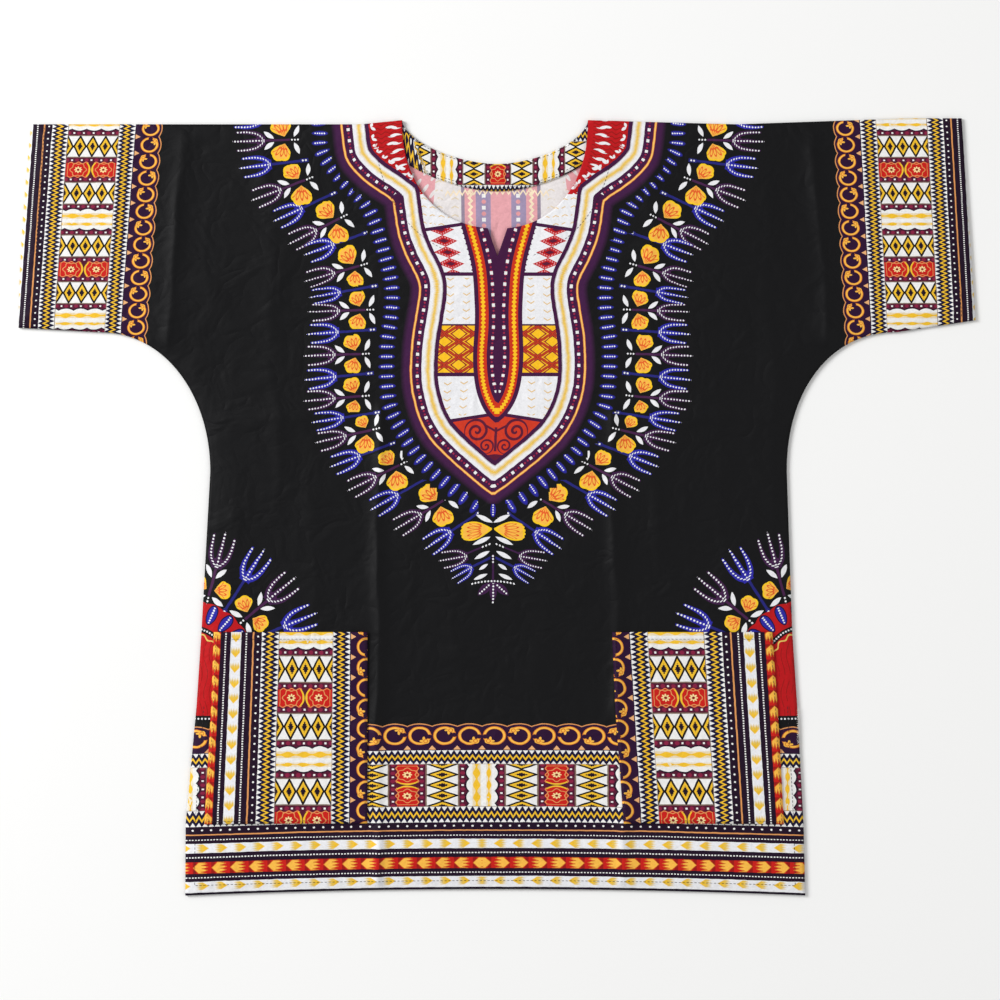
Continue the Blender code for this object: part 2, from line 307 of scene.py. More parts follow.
# Creases: each runs from one point to another, with its height, the width of its flanks
# and how far it wanders.
creaseColumns = ("x0", "y0", "x1", "y1", "height", "width", "wander")
creaseTable = (
    # two long creases down the body
    (-118, 110, -120, -412, 4.6, 4.4, 1.6),
    (114, 110, 128, -412, 4.2, 4.8, 1.8),
    # packing folds of the sleeves
    (-313, 384, -331, 150, 3.4, 6, 1),
    (314, 384, 333, 150, 3.4, 6, 1),
    # shallow vertical folds between them
    (-231, 372, -218, -20, 1.5, 8, 3),
    (-188, 30, -184, -118, 1.2, 8, 3),
    (150, 372, 163, -60, 1.5, 8.5, 3),
    (268, 340, 283, -100, 1.2, 8, 3),
    (-262, 20, -268, -120, 0.8, 7, 2.5),
    (222, 60, 232, -120, 0.9, 8, 3),
    # folds across
    (-296, 91, -172, 88, 1.3, 7, 2.5),
    (160, 90, 296, 87, 1.3, 7, 2.5),
    (-110, -40, 20, -46, 0.7, 9, 3),
    (10, -44, 112, -38, 0.6, 8, 3),
    (-100, -150, 108, -156, 0.7, 10, 3),
    # slanting drags
    (-300, 236, -238, 160, 1, 12, 4),
    (-196, 22, -138, -52, 1, 11, 4),
    (236, 190, 292, 120, 0.9, 12, 4),
    (150, 20, 108, -70, 0.8, 11, 4),
    (-60, -60, -30, -200, 0.8, 12, 4),
    (52, -70, 40, -196, 0.8, 12, 4),
    (-430, 360, -420, 200, 0.8, 9, 3),
    (428, 366, 420, 205, 0.8, 9, 3),
    (-374, 350, -380, 190, 0.6, 9, 3),
    (372, 356, 380, 196, 0.6, 9, 3),
)


def creaseHeight(x, y):
    # each crease is a ridge of pointed section, exp(-|d|/w), fading at both ends
    total = np.zeros_like(x)
    for number, row in enumerate(creaseTable):
        crease = dict(zip(creaseColumns, row))
        dx, dy = crease["x1"] - crease["x0"], crease["y1"] - crease["y0"]
        length = math.hypot(dx, dy)
        along = ((x - crease["x0"]) * dx + (y - crease["y0"]) * dy) / length
        across = ((x - crease["x0"]) * dy - (y - crease["y0"]) * dx) / length
        across = across + crease["wander"] * np.sin(along / 31.0 + number)
        across = across + 0.4 * crease["wander"] * np.sin(along / 11.0 + 2.0 * number)
        ends = smooth(along / lie["creaseFade"]) * smooth((length - along) / lie["creaseFade"])
        uneven = 0.78 + 0.22 * np.sin(along / 23.0 + 1.7 * number)
        flank = np.sqrt(across**2 + lie["creaseTop"] ** 2) - lie["creaseTop"]
        total += crease["height"] * uneven * ends * np.exp(-flank / crease["width"])
    return total


def clothHeight(x, y):
    # underside of the front above the table: low at the seams, over the facing at the neck,
    # with two crossed waves of uneven length for the slow rise and fall
    inside = seamDistance(x, y)
    half, fade = lie["neckReach"]
    foot, rise = lie["neckFrom"]
    nearNeck = smooth((half - np.abs(x)) / fade) * smooth((y - foot) / rise)
    rim = mixed(lie["rimHeight"], lie["neckHeight"], nearNeck)
    height = mixed(rim, lie["bodyHeight"], smooth(inside / lie["rimWidth"]))
    waves = np.sin(x / 41.0 + 0.6 * np.sin(y / 57.0)) * np.sin(y / 49.0 + 0.8 * np.sin(x / 67.0))
    waves += 0.5 * np.sin(x / 19.0 + y / 37.0) * np.sin(y / 23.0 - x / 61.0)
    start, fade = lie["rollingFrom"]
    height += smooth((inside - start) / fade) * lie["rolling"] * np.maximum(0.6 + waves, 0.0)
    return height + smooth(inside / lie["creaseFrom"]) * creaseHeight(x, y)


# Making meshes.
def placed(name, data):
    # a new object of the scene, at the origin
    piece = bpy.data.objects.new(name, data)
    bpy.context.scene.collection.objects.link(piece)
    return piece


def newPiece(name, points, faces):
    mesh = bpy.data.meshes.new(name)
    mesh.from_pydata((points * mm).tolist(), [], faces)
    mesh.update()
    mesh.shade_smooth()
    return placed(name, mesh)


def shellFrom(name, x, y, z, wall, keep=None):
    # a grid of points thickened upwards by wall and closed round its edge, which is every
    # side that one cell alone has; keep marks the cells that have cloth
    rows, columns = x.shape
    index = np.arange(rows * columns).reshape(rows, columns)
    quads = np.stack((index[:-1, :-1], index[1:, :-1], index[1:, 1:], index[:-1, 1:]), axis=-1)
    cells = quads.reshape(-1, 4) if keep is None else quads[keep]
    used = np.unique(cells)
    renumber = np.zeros(rows * columns, dtype=np.int64)
    renumber[used] = np.arange(len(used))
    cells = renumber[cells]
    low = np.stack((x.ravel(), y.ravel(), z.ravel()), axis=-1)[used]
    high = low + np.array((0.0, 0.0, wall))
    count = len(used)
    sides = np.concatenate([cells[:, [i, (i + 1) % 4]] for i in range(4)])
    keys = sides.min(axis=1) * count + sides.max(axis=1)
    first, times = np.unique(keys, return_index=True, return_counts=True)[1:]
    edge = sides[first[times == 1]]
    rim = np.stack((edge[:, 1] + count, edge[:, 0] + count, edge[:, 0], edge[:, 1]), axis=-1)
    faces = np.concatenate((cells + count, cells[:, ::-1], rim))
    points = np.concatenate((low, high))
    return newPiece(name, points, faces.tolist()), points


def addField(piece, name, values):
    # an attribute of three numbers at each point, for the prints to read
    field = piece.data.attributes.new(name, "FLOAT_VECTOR", "POINT")
    field.data.foreach_set("vector", np.stack(values, axis=-1).astype(np.float32).ravel())


def faceCorners(piece):
    # the four point numbers of every face
    corners = np.zeros(len(piece.data.polygons) * 4, dtype=np.int32)
    piece.data.polygons.foreach_get("vertices", corners)
    return corners.reshape(-1, 4)


# Inks and node writing.
inks = {
    "ground": "#0F0F11",
    "white": "#F4F3F1",
    "purple": "#2C0C32",
    "darkPurple": "#1E0822",
    "navy": "#161034",
    "maroon": "#541530",
    "plum": "#8A2042",
    "gold": "#FFC04C",
    "amber": "#D9772A",
    "peach": "#F0B47A",
    "orange": "#E39A5C",
    "yellow": "#F7C431",
    "red": "#CC1E17",
    "deepRed": "#8E1410",
    "rust": "#C0501E",
    "cream": "#FBE0A0",
    "black": "#120A10",
    "seam": "#8A7466",
    "blue": "#2C2AA6",
    "night": "#3E1C46",
    "soot": "#1A0B22",
    "leafWhite": "#F1F1F4",
    "petal": "#FFD024",
    "ember": "#E8602A",
    "spearRed": "#D03418",
    "spearYellow": "#FFC522",
    "scroll": "#5E1834",
    "pink": "#EBA9AF",
    "lilac": "#A494B4",
    "greyPurple": "#9A8CA0",
    "paleCream": "#FCE8C8",
    "paleWhite": "#EDE7E6",
    "paleRose": "#DDB9BC",
    "yokeShade": "#431A46",
    "plumBand": "#431440",
    "plumMark": "#A02848",
    "peachLine": "#FFC768",
    "ochre": "#E9C765",
    "paleGrey": "#C9C2C4",
    "petalRed": "#C0141A",
    "sand": "#E8C48A",
    "sandPale": "#E6D6BC",
    "rosePale": "#E9A0A4",
    "brick": "#C43C1A",
    "spadeRed": "#D23A22",
    "nightLow": "#48204A",
    "blueLow": "#25267A",
}


def linear(hexColour):
    # sRGB hex to the linear values that a shader reads
    values = [int(hexColour[i : i + 2], 16) / 255 for i in (1, 3, 5)]
    steps = [v / 12.92 if v <= 0.04045 else ((v + 0.055) / 1.055) ** 2.4 for v in values]
    return (*steps, 1.0)


def addNode(tree, kind, settings, links=None):
    # settings name the node's own options or, where there is one, an input's fixed value
    node = tree.nodes.new(kind)
    for name, value in settings.items():
        if isinstance(name, int) or name in node.inputs:
            node.inputs[name].default_value = value
        else:
            setattr(node, name, value)
    for name, source in (links or {}).items():
        tree.links.new(source, node.inputs[name])
    return node


signs = {ast.Add: "ADD", ast.Sub: "SUBTRACT", ast.Mult: "MULTIPLY", ast.Div: "DIVIDE"}
mathWords = {
    "sin": "SINE",
    "cos": "COSINE",
    "abs": "ABSOLUTE",
    "sqrt": "SQRT",
    "round": "ROUND",
    "lo": "MINIMUM",
    "hi": "MAXIMUM",
    "less": "LESS_THAN",
    "more": "GREATER_THAN",
    "fold": "PINGPONG",  # distance from the nearest of marks two steps apart
    "angle": "ARCTAN2",
    "power": "POWER",
}
shortWords = {
    "every": ("v p", "v-p*round(v/p)"),  # signed distance from the nearest of marks p apart
    "within": ("v a b", "more(v,a)*less(v,b)"),
    "line": ("v w", "less(abs(v),w)"),
    "dot": ("u v r", "less(u*u+v*v,r*r)"),
    "size": ("u v", "sqrt(u*u+v*v)"),
    "oval": ("u v a b", "less((u/a)*(u/a)+(v/b)*(v/b),1)"),
    # distance outside a leaf from (0,0) to (l,0), widest near its middle: below 0 inside
    "leaf": ("u v l w", "abs(v)-w*(1-(2*u/l-1)*(2*u/l-1))"),
}


def workOut(tree, node, known):
    # turns one written sum into Math nodes; sums of plain numbers are done at once
    if isinstance(node, str):
        node = ast.parse(node).body[0].value
    if isinstance(node, ast.Constant):
        return float(node.value)
    if isinstance(node, ast.Name):
        return known[node.id]
    if isinstance(node, ast.UnaryOp):
        node = ast.BinOp(ast.Constant(0.0), ast.Sub(), node.operand)
    if isinstance(node, ast.BinOp):
        word = signs[type(node.op)]
        values = [workOut(tree, part, known) for part in (node.left, node.right)]
        if all(isinstance(value, float) for value in values):
            a, b = values
            done = {"ADD": a + b, "SUBTRACT": a - b, "MULTIPLY": a * b, "DIVIDE": a / (b or 1)}
            return done[word]
    else:
        name = node.func.id
        values = [workOut(tree, part, known) for part in node.args]
        if name in shortWords:
            letters, text = shortWords[name]
            return workOut(tree, text, dict(zip(letters.split(), values)))
        word = mathWords[name]
    settings = {"operation": word}
    links = {}
    for place, value in enumerate(values):
        (settings if isinstance(value, float) else links)[place] = value
    return addNode(tree, "ShaderNodeMath", settings, links).outputs[0]


def mixNode(tree, amount, colour, settings):
    # lays a second colour on the first; amount and colour may be plain values or outputs
    settings = {"data_type": "RGBA", **settings}
    links = {}
    for place, value in ((0, amount), (6, colour)):
        (settings if isinstance(value, (float, tuple)) else links)[place] = value
    return addNode(tree, "ShaderNodeMix", settings, links)


def printDesign(tree, colour, text, known):
    # each line of a design works out a number, or lays an ink where a number is 1
    for line in ast.parse(text).body:
        if isinstance(line, ast.Assign):
            known[line.targets[0].id] = workOut(tree, line.value, known)
            continue
        ink, where = line.value.args
        where = workOut(tree, where, known)
        colour = mixNode(tree, where, colour, {7: linear(inks[ink.id])}).outputs[2]
    return colour


cotton = {
    "thread": 1.5,  # real threads lie 0.35 mm apart, too fine to show, so drawn coarser
    "threadHeight": 0.05,
    "crumple": 34.0,  # breadth of the soft crumples
    "crumpleHeight": 0.75,
    "crinkle": 9.0,
    "crinkleHeight": 0.22,
    "wobble": 0.45,  # how far a printed edge strays from its drawing
    "wobbleLength": 7.0,
    "fading": 2.2,  # breadth of the uneven spots of ink
    "shader": {
        "Roughness": 0.52,
        "IOR": 1.5,
        "Specular IOR Level": 0.13,
        "Sheen Weight": 0.02,
        "Sheen Roughness": 0.5,
    },
}


def newMaterial(name, settings):
    # settings go on the shader's own sockets
    material = bpy.data.materials.new(name)
    material.use_nodes = True
    shader = material.node_tree.nodes["Principled BSDF"]
    for socket, value in settings.items():
        shader.inputs[socket].default_value = value
    return material, material.node_tree, shader


def noiseAt(tree, place, length, detail, distortion=0.0):
    # soft noise whose patches are about length millimetres across
    settings = {"Scale": 1 / (length * mm), "Detail": detail, "Distortion": distortion}
    return addNode(tree, "ShaderNodeTexNoise", settings, {"Vector": place})


def printedCotton(name, design, fieldNames, groundInk="ground"):
    # Plain-weave cotton, wax printed: matt, with faint threads, soft crumples and inks
    # that stray a little from their outlines.
    material, tree, shader = newMaterial(name, cotton["shader"])
    place = addNode(tree, "ShaderNodeTexCoord", {}).outputs["Object"]
    stray = noiseAt(tree, place, cotton["wobbleLength"], 1.0).outputs["Color"]
    stray = addNode(tree, "ShaderNodeSeparateColor", {}, {"Color": stray}).outputs
    offset = f"(n-0.5)*{2 * cotton['wobble']}"
    strays = [workOut(tree, offset, {"n": part}) for part in stray[:2]]
    known = {"grain": stray[2]}
    for field, letters in fieldNames.items():
        source = place
        if field != "place":
            settings = {"attribute_name": field}
            source = addNode(tree, "ShaderNodeAttribute", settings).outputs["Vector"]
        parts = addNode(tree, "ShaderNodeSeparateXYZ", {}, {0: source}).outputs
        for number, letter in enumerate(letters.split()):
            if field == "place":
                known[letter] = workOut(tree, "a*1000", {"a": parts[number]})
            elif number < 2:
                inner = {"a": parts[number], "j": strays[number]}
                known[letter] = workOut(tree, "a+j", inner)
            else:
                known[letter] = parts[number]
    colour = printDesign(tree, linear(inks[groundInk]), design, known)
    uneven = noiseAt(tree, place, cotton["fading"], 2.0).outputs["Fac"]
    shades = {"From Min": 0.25, "From Max": 0.75, "To Min": 0.9, "To Max": 1.05}
    shade = addNode(tree, "ShaderNodeMapRange", shades, {"Value": uneven}).outputs[0]
    faded = mixNode(tree, 1.0, colour, {"blend_type": "MULTIPLY"})
    tree.links.new(shade, faded.inputs[7])
    tree.links.new(faded.outputs[2], shader.inputs["Base Color"])
    parts = addNode(tree, "ShaderNodeSeparateXYZ", {}, {0: place}).outputs
    known = {"x": parts[0], "y": parts[1]}
    known["c"] = noiseAt(tree, place, cotton["crumple"], 2.0, 0.6).outputs["Fac"]
    known["f"] = noiseAt(tree, place, cotton["crinkle"], 3.0, 0.6).outputs["Fac"]
    turn = 2000 * math.pi / cotton["thread"]
    text = (
        f"{cotton['crumpleHeight']}*abs(c-0.5)*4+{cotton['crinkleHeight']}*f"
        f"+{cotton['threadHeight']}*sin(x*{turn})*sin(y*{turn})"
    )
    height = workOut(tree, text, known)
    settings = {"Distance": mm, "Strength": 1.0}
    bump = addNode(tree, "ShaderNodeBump", settings, {"Height": height})
    tree.links.new(bump.outputs[0], shader.inputs["Normal"])
    return material


# The striped border.
# Distances in the border's own millimetres: s across it from the chest side, v along it
# with a white block at every 122.4, and far along it away from where the motifs turn.
border = {
    "repeat": 122.4,
    "sleeveRepeat": 99.5,  # the repeat as it lies on each piece
    "pocketRepeat": 122.5,
    "hemRepeat": 149.4,
    "hemWhiteX": -15.0,
    "away": 979.2,  # eight repeats, to keep far from where the motifs turn
}

borderDesign = """
far = abs(turnPoint)
g = fold(v, 61.2)
m = s-71
arc = every(v-10.2, 20.4)/10.2
edge = 0.8+2.6*arc*arc
paint(purple, within(s, edge, 28))
w = every(far-10.2, 20.4)
turn = less(every(far-20.4, 40.8), 0)*2-1
a = w/8.2
b = (s-12.6)/8.0*turn
q = size(a, b)
ring = q-1
paint(amber, within(s, edge, 22.5)*line(ring, 0.165)*more(size(a+0.95, b-0.1), 0.26))
paint(gold, line(ring+0.02, 0.105)*more(size(a+0.95, b-0.1), 0.3))
paint(gold, oval(a+0.62, b-0.7, 0.34, 0.3))
paint(gold, oval(a+0.4, b-0.38, 0.13, 0.26))
paint(gold, oval(a+0.2, b-0.66, 0.22, 0.12))
paint(amber, line(size(a+0.6, b-0.66)-0.2, 0.045))
paint(orange, line(s-edge, 0.52))
paint(peach, within(s, 22.6, 27.4)*less(abs(every(v, 20.4)), (s-22.4)*0.6))
z = s-69*more(s, 71)
teeth = within(z, 28, 45)
paint(navy, teeth)
paint(white, within(z, 28.4, 33)*less(abs(every(v, 5.1)), (33.3-z)*0.47))
paint(white, within(z, 41, 45)*less(abs(every(v-2.55, 5.1)), (z-40.8)*0.55))
paint(yellow, teeth*line(z-39.55+2*fold(v, 2.55), 1.5))
panel = within(s, 45, 97)
lobe = every(m, 15)/7.5
blockEdge = 12.8-2.6*lobe*lobe
paint(white, panel)
paint(seam, panel*line(g-19, 0.8))
paint(seam, panel*line(g-45.9, 0.8))
paint(maroon, panel*within(g, blockEdge, 18.6))
paint(darkPurple, panel*within(g, blockEdge, blockEdge+1.4))
d = abs(every(m, 13))/6.5+abs(g-32.4)/13.2
rhomb = panel*within(g, 19.2, 45.6)
paint(black, rhomb*within(d, 0.77, 1.08))
paint(yellow, rhomb*less(d, 0.77))
paint(soot, rhomb*less(d+0.06*sin(g*3.2), 0.4))
paint(maroon, panel*more(g, 46.3))
rowG = lo(abs(g-15.9), abs(g-49.4))
paint(plum, panel*dot(every(m-5, 10), rowG, 2.0))
paint(white, panel*less(hi(abs(every(m, 10)), rowG), 0.95))
fromRed = 61.2-g
petalM = abs(m)-13
lozenge = hi(abs(petalM)-11.6, fromRed-8.6)
paint(red, panel*less(lozenge, 0.5+0.9*cos(petalM*0.8)))
paint(red, panel*more(g, 52.6)*more(abs(m), 15))
paint(orange, panel*line(lozenge+0.2-0.9*cos(petalM*0.8), 0.42)*less(abs(m), 25))
r = size(petalM, fromRed)
t = angle(fromRed, petalM)
paint(orange, panel*line(r-7.6-0.9*cos(6*t), 0.5))
paint(cream, panel*less(r, 2.0+2.1*abs(cos(4*t))))
paint(deepRed, panel*less(r, 1.4))
waist = 1.2+fromRed*fromRed*0.045
paint(maroon, panel*less(abs(m), waist)*less(fromRed, 8.5))
paint(yellow, panel*line(abs(m)-waist, 0.85)*less(fromRed, 8.5))
vs = every(v, 122.4)
swell = 0.5+0.5*cos(m*0.4189)
paint(ochre, panel*lo(hi(2.3-abs(vs+4.4)*0.6, 0), 0.55))
paint(yellow, panel*line(vs+4.4, 0.8+2.3*swell*(0.75+0.4*grain)))
paint(ochre, panel*lo(hi(1.5-abs(vs-5.6)*0.6, 0), 0.4))
paint(yellow, panel*line(vs-5.6, 0.4+1.6*swell*(0.6+0.8*grain))*more(grain, 0.34))
paint(seam, within(s, 44.4, 45.2)*0.6+within(s, 96.8, 97.6)*0.6)
outer = more(s, 114)
paint(darkPurple, outer)
paint(white, dot(s-117.6, every(v, 7.65), 0.95))
paint(orange, within(s, 121.5, 123.0))
thirty = every(s-129, 20)
paint(white, outer*less(s, 176)*less(hi(abs(thirty), abs(every(v, 2.55))), 0.72)*more(s, 124))
paint(leafWhite, within(s, 134, 144)+within(s, 174, 186.6))
c = every(far, 15.3)
n = every(s-139, 40)
streak = 0.5+0.5*sin(n*2.6)
inArrow = lo((c+6.2)*0.85, 4.9)-abs(n)
paint(ochre, outer*line(n, 4.9)*lo(inArrow*0.9, 1)*lo((5.4-1.6*streak-c)*0.3, 1))
paint(yellow, outer*line(n, 4.9)*lo(inArrow*0.8, 1)*lo((2.2-2.6*streak-c)*0.45, 1))
flame = within(s, 154, 164)
paint(red, flame)
f = abs(s-159)
paint(deepRed, flame*lo((3.0-abs(c-5-f*0.4))*0.5, 0.8))
inFlame = lo((7.6-c)*1.0, 5)-f
fingers = 0.5+0.5*sin((s-159)*2.3)
paint(amber, flame*more(inFlame, 0)*more(c, 0.3*f-5.6+3.4*fingers))
paint(gold, flame*more(inFlame, 0.5)*more(c, 0.3*f-4.0+4.2*fingers))
paint(amber, flame*more(inFlame, 0)*less(inFlame, 0.7)*more(c, -3))
paint(soot, more(s, 186.6))
"""

# The yoke print.
# Distances of its bands from the peach outline, inwards (d) with l along it; e and el do
# the same for the spear under the slit; u is the distance from the middle line.
yoke = {
    "lineY": (13, 107, 177, 385),  # the printed middle line leans a little
    "lineX": (-4, 0.5, 1.6, 1.6),
    "lobe": (  # outline from the shoulder to the notch
        (157.6, 385.3), (153.6, 354.3), (148, 342), (136, 329), (123.6, 319.3),
        (113.6, 312.9), (104.8, 306.3),
    ),
    "flank": (  # and from the notch to the point
        (104.8, 306.3), (103.3, 294.6), (99.6, 272.6), (91.6, 250.6), (80.6, 228.6),
        (78.7, 215.4), (82.1, 191.9), (85.6, 168.5), (87.1, 137.3), (84.6, 113.3),
        (76.6, 88.3), (65.6, 69.6), (54.6, 57.8), (43.2, 47.2), (28, 34.4), (13, 22.2),
        (0, 12.8),
    ),
    "spear": (
        (38.1, 284.3), (27.1, 241.8), (24.1, 206.6), (23.8, 183.3), (25.2, 151.3),
        (23.3, 126.3), (18.6, 108.3), (10.6, 93.7), (0, 83.3),
    ),
    # middle line of the blue dashes round the outline
    "dashes": (
        (179.1, 379.3), (176.6, 355.3), (157, 328.3), (136.6, 308.3), (124.1, 285.3),
        (114.4, 254.7), (107.1, 222.3), (107.6, 192.3), (111.4, 162.3), (110.8, 127.3),
        (106.9, 99.9), (92, 73.1), (72, 46.7), (42.4, 20.8), (18, 3.8),
    ),
    "dashSpacing": 9.75,
    "lobeShift": 3,  # sets the spots of the lobe in step with its outline
    "step": 0.5,  # how finely each outline is followed
}

# Stems of the flower ring: u and y of the place where the three prongs of each leave it,
# and its fall outwards in degrees.
purpleStems = np.array((
    (234.6, 366.7, 2), (217.9, 317.9, 21), (182.2, 277.2, 27), (164.3, 234.4, 16),
    (159.3, 196.6, 2), (163.4, 152.5, 2), (162.7, 108.9, 5), (149.9, 71.5, 13),
    (118, 30.5, 27), (72, -6.6, 31),
))
blueStems = np.array((
    (236.6, 388.3, -3), (228.4, 342.7, 7), (196.6, 299.3, 25), (165, 263, 20),
    (158.6, 215.2, 10), (160.7, 175.2, 4), (162.4, 130.5, 6), (153.8, 89.6, 9),
    (135.1, 51.5, 21), (95.3, 12.8, 30), (42.5, -24.3, 34),
))
prongFoot = 17.0  # distance along a stem from its flowers to its prongs
stemEnds = (-20.0, 48.0)  # how far a stem and its prongs reach, in and out


def roundPath(points):
    # a smooth line through the points, by their tangents, in even short steps
    points = np.array(points)
    tangents = np.gradient(points, axis=0)
    lengths = np.hypot(*np.diff(points, axis=0).T)
    parts = []
    for i, length in enumerate(lengths):
        t = np.linspace(0.0, 1.0, max(2, int(length / yoke["step"])), endpoint=False)[:, None]
        start, end = points[i], points[i + 1]
        parts.append(
            (2 * t**3 - 3 * t**2 + 1) * start + (t**3 - 2 * t**2 + t) * tangents[i]
            + (3 * t**2 - 2 * t**3) * end + (t**3 - t**2) * tangents[i + 1]
        )
    return np.concatenate(parts + [points[-1:]])


def beside(path, u, y):
    # signed distance from a path, positive towards its right-hand side as it runs down
    # and in, and the distance along it; both ends run on straight
    tangent = np.gradient(path, axis=0)
    tangent /= np.hypot(tangent[:, 0], tangent[:, 1])[:, None]
    along = np.concatenate(([0.0], np.cumsum(np.hypot(*np.diff(path, axis=0).T))))
    near = np.zeros(len(u), dtype=np.int64)
    for part in np.array_split(np.arange(len(u)), max(1, len(u) // 6000)):
        away = (u[part, None] - path[None, :, 0]) ** 2 + (y[part, None] - path[None, :, 1]) ** 2
        near[part] = np.argmin(away, axis=1)
    du, dy = u - path[near, 0], y - path[near, 1]
    tu, ty = tangent[near, 0], tangent[near, 1]
    return ty * du - tu * dy, along[near] + tu * du + ty * dy


def fromStems(stems, u, y):
    # distance across and along the nearest stem, how far off it lies across, and the
    # distance from that stem to the next
    turn = np.radians(stems[:, 2])
    du = u[:, None] - stems[None, :, 0]
    dy = y[:, None] - stems[None, :, 1]
    along = du * np.cos(turn) - dy * np.sin(turn) + prongFoot
    across = du * np.sin(turn) + dy * np.cos(turn)
    beyond = along - np.clip(along, *stemEnds)
    order = np.argpartition(np.hypot(across, beyond), 1, axis=1)[:, :2]
    spacing = np.abs(np.take_along_axis(across, order, axis=1)).sum(axis=1)
    across = np.take_along_axis(across, order[:, :1], axis=1)[:, 0]
    along = np.take_along_axis(along, order[:, :1], axis=1)[:, 0]
    return across, along, np.abs(across), spacing


def yokeFields(x, y):
    # distances that the prints of the chest read, at every point of the front
    u = x - np.interp(y, yoke["lineY"], yoke["lineX"])
    mirrored = np.abs(u)
    dLobe, lLobe = beside(roundPath(yoke["lobe"]), mirrored, y)
    dFlank, lFlank = beside(roundPath(yoke["flank"]), mirrored, y)
    onLobe = dLobe > dFlank
    d = np.where(onLobe, dLobe, dFlank)
    l = np.where(onLobe, lLobe + yoke["lobeShift"], lFlank)
    e, el = beside(roundPath(yoke["spear"]), mirrored, y)
    dashPath = roundPath(yoke["dashes"])
    dashLength = np.sum(np.hypot(*np.diff(dashPath, axis=0).T))
    across, along = beside(dashPath, mirrored, y)
    purple = fromStems(purpleStems, mirrored, y)
    blue = fromStems(blueStems, mirrored, y)
    return {
        "yoke": (d, l, e),
        "spear": (u, el, y),
        "dash": (dashLength - along, -across, y),
        "notch": (np.abs(dLobe - dFlank), y, u),
        "purpleStem": purple[:3],
        "blueStem": blue[:3],
        "spacing": (purple[3], blue[3], y),
    }


